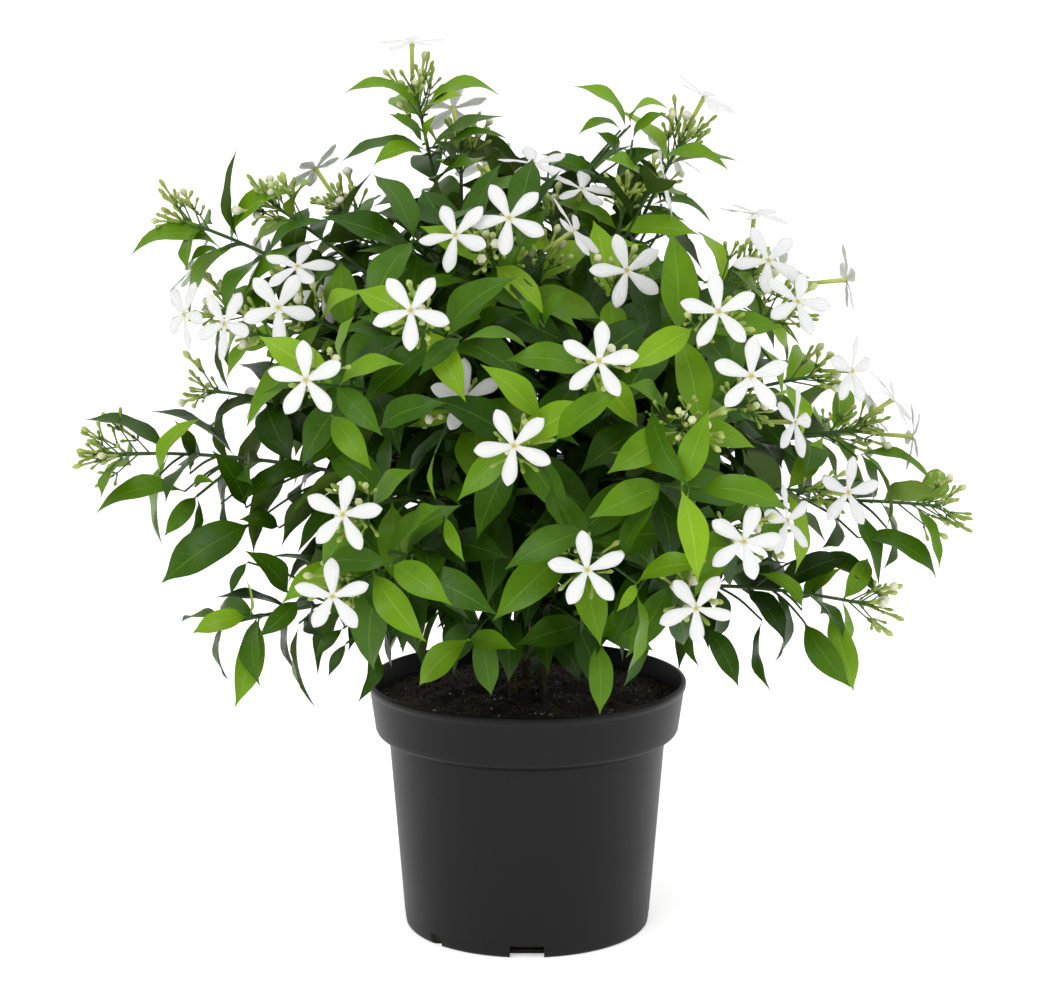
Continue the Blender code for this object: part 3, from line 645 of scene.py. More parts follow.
petal = {
    "count": 5,
    "length": 21.5,
    "wide": 10.2,
    "outline": ((8.5, -0.86), (16.3, -0.92), (21.5, 0), (16.3, 0.92), (8.5, 0.86)),
    "middle": 11.5,
    "arch": 0.9,
    "lift": (-2.2, 1.6),
    "thick": 1.0,
    "throat": 2.6,
    "tube": 22,
    "tubeRadii": (1.25, 1.2),
    "stalkRadii": (0.8, 0.75, 0.9, 1.5),
    "fineStalkRadii": (0.8, 0.7, 0.85, 1.75),
    "stalkTones": (0.35, 0.2, 0.15, 0.1),
    "stalkStraight": 2.5,
    "stalkBack": 2,  # from the twig's tip
    "stalkBend": 0.45,
}

# The photograph's camera, fitted to the pot. A photo place is right and down in its 1056 by 992 pixels
photo = {"back": 1845.4, "height": 628.2, "tilt": 0.1893, "middle": (528, 496), "focus": 3009.6}

# The crown's outer dome, on which a photo place without a depth lies
dome = {"middle": (0, 0, 330), "reach": (285, 235, 240), "inner": 0.93}

# Near blooms: tip, photo place of the petals' middle, depth behind the pot's axis, azimuth, elevation, spin
nearBlooms = [
    (0, (413, 45), 10, -90, 80, 0),
    (1, (455, 110), 50, 100, 40, 0),
    (2, (705, 98), 20, -20, 60, 10),
    (3, (318, 170), 30, 150, 50, 0),
    (6, (187, 315), -30, -140, 5, 20),
    (6, (195, 270), 30, 165, 35, 0),
    (7, (227, 325), -80, -125, 10, 30),
    (8, (280, 309), -130, -97, 12, 32),
    (8, (300, 268), -100, -95, 58, 10),
    (9, (325, 293), -30, -60, 30, 40),
    (10, (308, 381), None, -95, 8, -5),
    (12, (413, 312), None, -93, 14, 35),
    (13, (457, 236), -155, -115, 28, 37),
    (13, (511, 219), -150, -85, 22, 47),
    (14, (535, 165), -30, -80, 72, 0),
    (14, (583, 190), -20, -60, 62, 30),
    (15, (575, 232), -100, -15, 35, 0),
    (16, (627, 272), -130, -80, 12, 57),
    (17, (665, 185), -20, 0, 15, 20),
    (18, (719, 313), None, -85, 12, 66),
    (19, (751, 377), None, -85, 10, 2),
    (19, (795, 422), -120, -35, 5, 20),
    (20, (755, 215), 0, -60, 80, 0),
    (20, (768, 262), -60, -75, 25, 50),
    (21, (797, 302), -80, -65, 35, 30),
    (21, (846, 280), -20, 5, 5, 0),
    (22, (852, 372), -60, -40, 5, 10),
    (23, (893, 400), -10, -10, 35, 0),
    (23, (912, 437), 0, 5, -5, 30),
    (24, (847, 492), -70, -60, 5, 10),
    (27, (744, 541), None, -85, 2, 18),
    (27, (788, 520), -115, -40, 10, 0),
    (28, (696, 607), None, -85, -8, 34),
    (29, (588, 570), None, -92, 2, 66),
    (30, (600, 362), None, -90, 10, 8),
    (31, (516, 447), None, -92, 8, 45),
    (32, (468, 397), -165, -75, 15, 67),
    (33, (344, 514), None, -97, 3, 8),
    (34, (335, 597), None, -97, -4, 69),
]

# Where a twig's tip lies behind its near blooms
behind = {"petals": 22.5, "inward": 8, "heart": (0, 0, 250)}

# Front tips without an open bloom: photo place, depth
photoTips = {37: ((683, 489), None), 38: ((392, 566), None), 39: ((470, 640), -130), 40: ((600, 640), -130)}

# Tips set at a place of their own: side sprays and the far side
setTips = {
    4: (-210, 0, 446),
    5: (-155, -4, 456),
    9: (-124, -10, 386),
    11: (-259, 0, 301),
    25: (257, 0, 268),
    26: (210, -30, 212),
    35: (-188, -40, 201),
    36: (90, -192, 350),
    41: (200, 78, 300),
    42: (150, 110, 225),
    43: (150, 120, 385),
    44: (85, 175, 290),
    45: (80, 120, 455),
    46: (60, 190, 370),
    47: (0, 165, 220),
    48: (-15, 205, 310),
    49: (-20, 135, 450),
    50: (-85, 170, 375),
    51: (-110, 130, 240),
    52: (-155, 130, 310),
    53: (-150, 85, 400),
    54: (-205, 70, 330),
}

# Pairs of leaves, and buds, at each tip
tipGrowth = [
    (3, 5), (2, 4), (3, 5), (2, 4), (3, 4), (2, 5), (1, 2), (2, 2), (2, 2), (1, 2),
    (2, 2), (4, 5), (2, 3), (2, 5), (2, 2), (1, 2), (2, 2), (2, 2), (2, 3), (2, 3),
    (2, 4), (1, 3), (1, 2), (2, 3), (1, 3), (3, 5), (3, 4), (2, 2), (2, 2), (2, 1),
    (2, 2), (2, 1), (1, 1), (2, 3), (2, 2), (3, 0), (1, 6), (2, 0), (2, 0), (2, 0),
    (2, 0), (2, 3), (2, 2), (2, 3), (2, 3), (2, 3), (2, 3), (2, 2), (2, 3), (2, 3),
    (2, 3), (2, 2), (2, 3), (2, 3), (2, 2),
]
farBloomTips = (41, 43, 44, 45, 46, 48, 49, 50, 52, 53)
farBloom = {"reach": 27, "crownMiddle": 300, "flatten": 0.7, "spread": 0.3, "rise": 0.25}


def place(point):
    return Vector(point) * mm


def whole(spot):
    return tuple(round(value) for value in spot)


# The place in millimetres at a photo place: at a depth behind the pot's axis, or else on a share of the dome
def fromPhoto(right, down, depth=None, share=1.0):
    sideways = (right - photo["middle"][0]) / photo["focus"]
    rise = (photo["middle"][1] - down) / photo["focus"]
    ahead, fall = math.cos(photo["tilt"]), math.sin(photo["tilt"])
    sight = (sideways, ahead + rise * fall, rise * ahead - fall)
    eye = (0, -photo["back"], photo["height"])
    if depth is None:
        start = [(e - m) / (reach * share) for e, m, reach in zip(eye, dome["middle"], dome["reach"])]
        step = [s / (reach * share) for s, reach in zip(sight, dome["reach"])]
        square = sum(s * s for s in step)
        nearest = -sum(a * s for a, s in zip(start, step)) / square
        inside = nearest ** 2 - (sum(a * a for a in start) - 1) / square
        far = nearest - math.sqrt(max(inside, 0))
    else:
        far = (depth - eye[1]) / sight[1]
    return [e + s * far for e, s in zip(eye, sight)]


# The photo place of a point in the scene
def inPhoto(point):
    ahead, fall = math.cos(photo["tilt"]), math.sin(photo["tilt"])
    x, y, z = point.x / mm, point.y / mm + photo["back"], point.z / mm - photo["height"]
    far = y * ahead - z * fall
    scale = photo["focus"] / far
    return photo["middle"][0] + x * scale, photo["middle"][1] - (y * fall + z * ahead) * scale


def nearBloomRows():
    return [(tip, whole(fromPhoto(*spot, depth)), *turns) for tip, spot, depth, *turns in nearBlooms]


# Each tip's place, pairs of leaves and buds
def tipRows():
    rows = {}
    for tip, (pairs, buds) in enumerate(tipGrowth):
        if tip in setTips:
            spot = setTips[tip]
        elif tip in photoTips:
            spot = fromPhoto(*photoTips[tip][0], photoTips[tip][1], dome["inner"])
        else:
            own = [row for row in nearBlooms if row[0] == tip]
            backs = [Vector(fromPhoto(*row[1], row[2])) - facing(*row[3:5]) * behind["petals"] for row in own]
            middle = sum(backs, Vector()) / len(backs)
            spot = middle - (middle - Vector(behind["heart"])).normalized() * behind["inward"]
        rows[tip] = (whole(spot), pairs, buds)
    return rows


def facing(azimuth, elevation):
    turn, rise = math.radians(azimuth), math.radians(elevation)
    return Vector((math.cos(rise) * math.cos(turn), math.cos(rise) * math.sin(turn), math.sin(rise)))


# A unit vector square to direction, as near to towards as it can be
def across(direction, towards=up):
    found = towards - direction * towards.dot(direction)
    if found.length < 0.05:
        found = Vector((1, 0, 0)) - direction * direction.x
    return found.normalized()


def turnedSide(along, degrees):
    return Matrix.Rotation(math.radians(degrees), 3, along) @ across(along)


def bend(start, middle, end, steps):
    shares = [i / steps for i in range(steps + 1)]
    return [start * (1 - t) ** 2 + middle * 2 * t * (1 - t) + end * t * t for t in shares]


# The place at a distance back from a path's end, and the path's direction there
def walkBack(path, distance):
    for low, high in zip(reversed(path[:-1]), reversed(path[1:])):
        step = (high - low).length
        if distance <= step:
            return high + (low - high) * (distance / step), (high - low).normalized()
        distance -= step
    return None


# Rough bodies: only asked whether two pieces of the plant would touch
def roughLoft(rings):
    points = [point for ring in rings for point in ring]
    faces = []
    start = 0
    for low, high in zip(rings, rings[1:]):
        count, above = len(low), start + len(low)
        for i in range(count):
            j = (i + 1) % count
            if len(high) == 1:
                faces.append((start + i, start + j, above))
            elif i % 2:
                faces += [(start + i, start + j, above + j), (start + i, above + j, above + i)]
            else:
                faces += [(start + i, start + j, above + i), (start + j, above + j, above + i)]
        start = above
    faces += [(0, i + 1, i) for i in range(1, len(rings[0]) - 1)]
    faces += [(start, start + i, start + i + 1) for i in range(1, len(rings[-1]) - 1)]
    return points, faces


def ringOf(middle, side, other, radius, count):
    turns = [2 * math.pi * k / count for k in range(count)]
    return [middle + (side * math.cos(a) + other * math.sin(a)) * radius for a in turns]


def roughTube(path, radii, sides):
    rings = []
    side = up
    for i, point in enumerate(path):
        along = (path[min(i + 1, len(path) - 1)] - path[max(i - 1, 0)]).normalized()
        side = across(along, side)
        rings.append(ringOf(point, side, along.cross(side), radii[i], sides))
    return roughLoft(rings)


def roughBlade(root, aim, face, length, droop, stretch=1.0, swell=0.0):
    side = aim.cross(face)
    half = length * leaf["wide"] / 2 * stretch + swell
    thick = leaf["thick"] * mm / 2 + swell

    def ring(share, wide, rise):
        turn = droop * share
        out, down = math.sin(turn) / droop * length, (1 - math.cos(turn)) / droop * length
        middle = root + aim * out - face * down
        top = face * math.cos(turn) + aim * math.sin(turn)
        lift = top * (wide * leaf["fold"])
        left, right = middle + side * wide + lift, middle - side * wide + lift
        return [left, middle - top * rise, right, middle + top * rise]

    petiole = leaf["petiole"] * mm + swell
    rings = [ring(0.045 if swell else 0.0, petiole, petiole)]
    rings += [ring(share, half * wide, thick) for share, wide in leaf["roughOutline"]]
    rings.append([ring(1.0, 0, 0)[0]])
    return roughLoft(rings)


def roughBud(root, aim, length, swell=0.0):
    side = across(aim)
    rings = []
    for share, radius in zip((0.15 if swell else 0.0, budSize["widest"]), budSize["radii"]):
        rings.append(ringOf(root + aim * length * share, side, aim.cross(side), radius * mm + swell, 3))
    rings.append([root + aim * (length + swell)])
    return roughLoft(rings)


def petalRise(radius, lift):
    share = radius / petal["length"]
    return petal["arch"] * math.sin(share * math.pi) + lift * share**2


def bloomFrame(aim):
    side = across(aim)
    return Matrix((side, aim.cross(side), aim)).transposed()


def roughBloom(middle, aim, spin, lifts):
    turnFrame = bloomFrame(aim)
    count = petal["count"]
    step = 360 / count

    def at(radius, degrees, height):
        turn = math.radians(degrees)
        return middle + turnFrame @ (Vector((radius * math.cos(turn), -radius * math.sin(turn), height)) * mm)

    def between(radius, height):
        return [at(radius, spin + step * (i - 0.5), height) for i in range(count)]

    points = [at(0, 0, 0.5)] + between(petal["tubeRadii"][0], -1.0) + between(petal["throat"], 0)
    faces = []
    for i, lift in enumerate(lifts):
        centre = spin + step * i
        a, b, tip, c, d, top, low = range(len(points), len(points) + 7)
        for radius, share in petal["outline"]:
            wide = petal["wide"] / 2 * share
            turn = centre + math.degrees(math.atan2(wide, radius))
            points.append(at(math.hypot(radius, wide), turn, petalRise(radius, lift)))
        rise = petalRise(petal["middle"], lift) + 0.1
        points += [at(petal["middle"], centre, rise), at(petal["middle"], centre, rise - petal["thick"])]
        neck, nextNeck = 1 + i, 1 + (i + 1) % count
        before, after = neck + count, nextNeck + count
        upper = [(0, before, a), (0, a, top), (0, top, d), (0, d, after)]
        upper += [(top, a, b), (top, b, tip), (top, tip, c), (top, c, d)]
        under = [(neck, a, before), (neck, low, a), (neck, nextNeck, low), (nextNeck, d, low)]
        under += [(nextNeck, after, d), (low, b, a), (low, tip, b), (low, c, tip), (low, d, c)]
        faces += [(p, r, q) for p, q, r in upper + under]
    foot = len(points)
    points += between(petal["tubeRadii"][1], -petal["tube"])
    for i in range(count):
        j = (i + 1) % count
        faces += [(1 + i, 1 + j, foot + j), (1 + i, foot + j, foot + i)]
    faces += [(foot, foot + i, foot + i + 1) for i in range(1, count - 1)]
    return points, faces


# The rough bodies placed so far
class Crowd:
    def __init__(self, most):
        self.middles = np.zeros((most, 3))
        self.reaches = np.zeros(most)
        self.trees = []
        self.owners = []

    def ball(self, points):
        middle = sum(points, Vector()) / len(points)
        return middle, max((point - middle).length for point in points)

    def add(self, body, owner):
        middle, reach = self.ball(body[0])
        self.middles[len(self.trees)] = middle
        self.reaches[len(self.trees)] = reach
        self.trees.append(BVHTree.FromPolygons(*body))
        self.owners.append(owner)

    def crossed(self, body, but, only=None):
        middle, reach = self.ball(body[0])
        count = len(self.trees)
        apart = np.linalg.norm(self.middles[:count] - np.array(middle), axis=1)
        near = np.flatnonzero(apart <= self.reaches[:count] + reach)
        tree = BVHTree.FromPolygons(*body)
        near = [i for i in near if self.owners[i] != but and (only is None or self.owners[i] == only)]
        return any(tree.overlap(self.trees[i]) for i in near)


def axisEnds(azimuth):
    turn = math.radians(azimuth)
    spread = Vector((math.cos(turn), math.sin(turn), 0))
    foot = (spread * plant["armEnd"][0] + up * plant["armEnd"][1]) * mm
    end = (spread * plant["axisReach"][0] + up * plant["axisReach"][1]) * mm
    return foot, end


def axisPoints(azimuth):
    foot, end = axisEnds(azimuth)
    start = foot + (end - foot).normalized() * soil["gap"] * mm
    return [start, start + (end - start) * 0.33, start + (end - start) * 0.66, end]


def stemPaths(stem):
    base = soil["height"]
    foot = place((*stem["foot"], base - plant["holeDepth"] + soil["gap"]))
    clear = place((*stem["foot"], base + plant["stemClear"]))
    fork = place(stem["fork"])
    below = fork + (foot - fork) * plant["armBelow"]
    thick, arm = plant["stemRadius"], plant["armRadius"]
    starts = ([foot, clear, fork], [below])
    startRadii = ([thick, thick, thick * plant["stemTaper"]], [arm])
    paths = []
    for points, radii, azimuth in zip(starts, startRadii, stem["shoots"]):
        end = axisEnds(azimuth)[0]
        aim = (axisPoints(azimuth)[-1] - end).normalized()
        near = end - aim * plant["armStraight"] * mm
        paths.append(([*points, near, end], [*radii, arm, arm]))
    return paths


# Places every twig, leaf, bud and bloom by the seeded rule
class Shrub:
    def __init__(self):
        self.draw = random.Random(plant["seed"])
        self.more = random.Random(plant["seed"] + 1)
        self.crowd = Crowd(plant["mostBodies"])
        self.azimuths = [azimuth for stem in plant["stems"] for azimuth in stem["shoots"]]
        self.shoots = {azimuth: {"paths": [], "leaves": [], "buds": []} for azimuth in self.azimuths}
        self.twigs = {}
        self.tips = tipRows()
        self.blooms = []

    def grow(self):
        for stem in plant["stems"]:
            for azimuth in stem["shoots"]:
                points = axisPoints(azimuth)
                self.crowd.add(roughTube(points, [r * mm for r in plant["axisRadii"]], 5), "axis")
                self.shoots[azimuth]["paths"].append((points, plant["axisRadii"], plant["axisTones"]))
            for points, radii in stemPaths(stem):
                self.crowd.add(roughTube(points, [r * mm for r in radii], 6), "stem")
        self.placeBlooms()
        self.placeTwigs()
        self.placeBuds()
        self.placeLeaves()

    def bloomRows(self):
        draw, spread = self.draw, farBloom["spread"]
        rows = nearBloomRows()
        for tip in farBloomTips:
            spot = Vector(self.tips[tip][0])
            above = (spot.z - farBloom["crownMiddle"]) * farBloom["flatten"]
            outward = Vector((spot.x, spot.y, above)).normalized()
            sway = [draw.uniform(-spread, spread) for _ in range(2)]
            outward += Vector((*sway, farBloom["rise"]))
            outward.normalize()
            azimuth = math.degrees(math.atan2(outward.y, outward.x))
            elevation = math.degrees(math.asin(outward.z))
            middle = tuple(spot + outward * farBloom["reach"])
            rows.append((tip, middle, azimuth, elevation, draw.uniform(0, 72)))
        return rows

    def placeBlooms(self):
        for tip, spot, azimuth, elevation, spin in self.bloomRows():
            aim = facing(azimuth, elevation)
            lifts = [self.draw.uniform(*petal["lift"]) for _ in range(petal["count"])]
            middle = place(spot)
            self.crowd.add(roughBloom(middle, aim, spin, lifts), "bloom")
            foot = middle - aim * (petal["tube"] + soil["gap"]) * mm
            self.blooms.append(dict(tip=tip, middle=middle, aim=aim, spin=spin, lifts=lifts, foot=foot))

    def twigCurve(self, azimuth, end):
        axis = axisPoints(azimuth)
        level = end.z / mm * plant["twigLevel"][0] + plant["twigLevel"][1]
        share = (level - plant["armEnd"][1]) / (plant["axisReach"][1] - plant["armEnd"][1])
        least, most = plant["twigShares"]
        start = axis[0] + (axis[-1] - axis[0]) * min(max(share, least), most)
        flat = Vector((end.x - start.x, end.y - start.y, 0)).length
        return start, (start + end) / 2 + up * flat * plant["twigArch"], end

    def placeTwigs(self):
        thick, thin = plant["twigRadii"]
        old, young = plant["twigTones"]
        for tip, row in self.tips.items():
            end = place(row[0])
            turn = math.degrees(math.atan2(end.y, end.x))
            azimuth = min(self.azimuths, key=lambda a: abs((a - turn + 180) % 360 - 180))
            curve = self.twigCurve(azimuth, end)
            path = bend(*curve, 4)
            radii = [(thick + (thin - thick) * i / 4) * mm for i in range(5)]
            self.crowd.add(roughTube(path, radii, 4), f"twig {tip}")
            self.twigs[tip] = (azimuth, path)
            shares = [i / 12 for i in range(13)]
            radii = [thick + (thin - thick) * t for t in shares]
            tones = [old - (old - young) * t for t in shares]
            self.shoots[azimuth]["paths"].append((bend(*curve, 12), radii, tones))
        for bloom in self.blooms:
            azimuth, path = self.twigs[bloom["tip"]]
            foot, aim = bloom["foot"], bloom["aim"]
            start = walkBack(path, petal["stalkBack"] * mm)[0]
            middle = foot - aim * (foot - start).length * petal["stalkBend"]
            points = bend(start, middle, foot, 3)[:2] + [foot - aim * petal["stalkStraight"] * mm, foot]
            self.crowd.add(roughTube(points, [r * mm for r in petal["stalkRadii"]], 3), "stalk")
            self.shoots[azimuth]["paths"].append((points, petal["fineStalkRadii"], petal["stalkTones"]))

    def placeBuds(self):
        spread = budSize["spread"]
        for tip, row in self.tips.items():
            azimuth, path = self.twigs[tip]
            turn = self.draw.uniform(0, 360)
            for i in range(row[2]):
                root, along = walkBack(path, (i // 2) * plant["cyme"] / 3 * mm)
                for _ in range(plant["tries"]):
                    spin = turn + 180 * i + budSize["turn"] * (i // 2) + self.draw.uniform(-spread, spread)
                    aim = (along + turnedSide(along, spin) * self.draw.uniform(*budSize["lean"])).normalized()
                    aim = (aim + up * budSize["rise"]).normalized()
                    length = self.draw.uniform(*budSize["length"]) * mm
                    room = roughBud(root, aim, length, budSize["room"] * mm)
                    if not self.crowd.crossed(room, f"twig {tip}"):
                        self.crowd.add(roughBud(root - aim * budSize["sunk"] * mm, aim, length), "bud")
                        self.shoots[azimuth]["buds"].append({"root": root, "aim": aim, "length": length})
                        break

    def placeLeaves(self):
        for tip, (_, pairs, buds) in self.tips.items():
            azimuth, path = self.twigs[tip]
            turn = self.draw.uniform(0, 180)
            back = plant["cyme"] + 3 if buds else 2
            self.twigs[tip] = (azimuth, path, turn, back)
            for pair in range(pairs):
                spot = walkBack(path, (back + pair * plant["pairStep"]) * mm)
                if spot is None:
                    break
                size = 1.0 if pair else leaf["young"]
                self.addPair(self.draw, azimuth, f"twig {tip}", spot, turn + 90 * pair, size, pair)

    # Two leaves on opposite sides of a twig, each where there is room for it
    def addPair(self, draw, azimuth, owner, spot, spin, size, depth, **habit):
        for half in range(2):
            found = self.freeLeaf(draw, owner, *spot, spin + 180 * half, size, **habit)
            if found:
                self.shoots[azimuth]["leaves"].append({**found, "depth": depth})

    # A leaf where it touches nothing, drawn again and again, each time a little freer
    def freeLeaf(self, draw, owner, root, along, spin, size,
                 tries=plant["tries"], lean=leaf["lean"], roll=0, outline=None):
        spread = leaf["spread"]
        wider, shorter, livelier = leaf["freer"]
        for attempt in range(tries):
            loosen = attempt / plant["tries"]
            side = turnedSide(along, spin + draw.uniform(-spread, spread) * (1 + wider * loosen))
            aim = (along * draw.uniform(*lean) + side + up * draw.uniform(*leaf["rise"])).normalized()
            face = across(aim, along * leaf["faceForward"] + up)
            if roll:
                face = Matrix.Rotation(math.radians(draw.uniform(-roll, roll)), 3, aim) @ face
            length = draw.uniform(*leaf["length"]) * size * (1 - shorter * loosen) * mm
            droop = draw.uniform(*leaf["droop"]) + livelier * loosen * draw.uniform(-1, 1)
            stretch = draw.uniform(*leaf["stretch"])
            room = roughBlade(root, aim, face, length, droop, stretch, leaf["room"] * mm)
            if meetsPot(room[0]) or (outline and not all(within(point, outline) for point in room[0][4:])):
                continue
            if not self.crowd.crossed(room, owner):
                sunk = root - aim * leaf["sunk"] * mm
                self.crowd.add(roughBlade(sunk, aim, face, length, droop, stretch), "leaf")
                return dict(root=sunk, aim=aim, face=face, length=length, droop=droop, stretch=stretch)
        return None


# Whether a leaf would hang too low, or touch the rim or the soil
def meetsPot(points):
    rim, top = (pot["rimRadius"] + leaf["potRoom"][0]) * mm, (pot["height"] + leaf["potRoom"][1]) * mm
    if min(point.z for point in points) < leaf["lowest"] * mm:
        return True
    return any(point.z < top and math.hypot(point.x, point.y) < rim for point in points)


# Whether a point lies inside an outline of photo places
def within(point, outline):
    right, down = inPhoto(point)
    inside = False
    for (x, y), (nextX, nextY) in zip(outline, outline[1:] + outline[:1]):
        if (y > down) != (nextY > down) and right < x + (nextX - x) * (down - y) / (nextY - y):
            inside = not inside
    return inside


# What the fine shrub has beyond its solids
lush = {
    "leafStep": 19,  # between the further pairs down each twig
    "leafReach": 150,  # how far down a twig the further pairs go
    "leafTurn": 20,  # how far they turn round the twig from the other pairs
    "innerTwigs": 120,
    "innerLength": (55, 110),
    "innerSpread": 50,
    "innerRise": (-5, 45, 25),  # least and most elevation, and how much more at the axis's top
    "innerRadii": (1.2, 0.7),
    "innerTones": (0.7, 0.3),
    "innerStep": 17,
    "innerSize": 0.98,
    "ripeness": 1.2,  # the higher, the fewer of the rule's buds are ripe
    "turned": 0.55,  # how far the leaves turn their faces outward and to the front
    "turnedDepth": 40,  # those farther back turn outward only
    "sideTwigRadii": (0.9, 0.8, 0.65),
    "sideTwigTones": (0.5, 0.4, 0.3),
    "sideTwigInward": 1.3,  # how far inward its foot is looked for, as a share of the gap to the nearest twig
    "humps": (0.08, 0.1),  # how much an inner twig and a side twig rise in their middles
    "shifts": (0, -6, 6, -12, 12, 18),  # how far an outer leaf may move towards the back to find room
    "habit": {
        "tries": 6,
        "lean": (0.4, 1.2),
        "roll": 50,
        # The crown's dense part, as photo places from the pot's left up and round
        "outline": [
            (365, 700), (318, 692), (288, 640), (250, 622), (232, 592), (248, 548), (222, 520), (205, 480),
            (216, 450), (240, 440), (232, 428), (190, 425), (168, 405), (200, 372), (214, 355), (172, 340),
            (165, 290), (196, 262), (240, 222), (262, 238), (290, 222), (328, 192), (348, 204), (364, 172),
            (385, 150), (402, 120), (440, 108), (490, 132), (515, 156), (562, 150), (588, 160), (596, 122),
            (640, 100), (700, 140), (716, 172), (692, 200), (700, 228), (652, 240), (646, 262), (692, 266),
            (735, 238), (790, 222), (832, 268), (870, 350), (866, 382), (910, 408), (914, 455), (885, 470),
            (930, 502), (920, 545), (892, 562), (898, 600), (852, 640), (850, 684), (800, 655), (772, 686),
            (742, 664), (705, 680), (640, 700), (420, 706),
        ],
    },
}

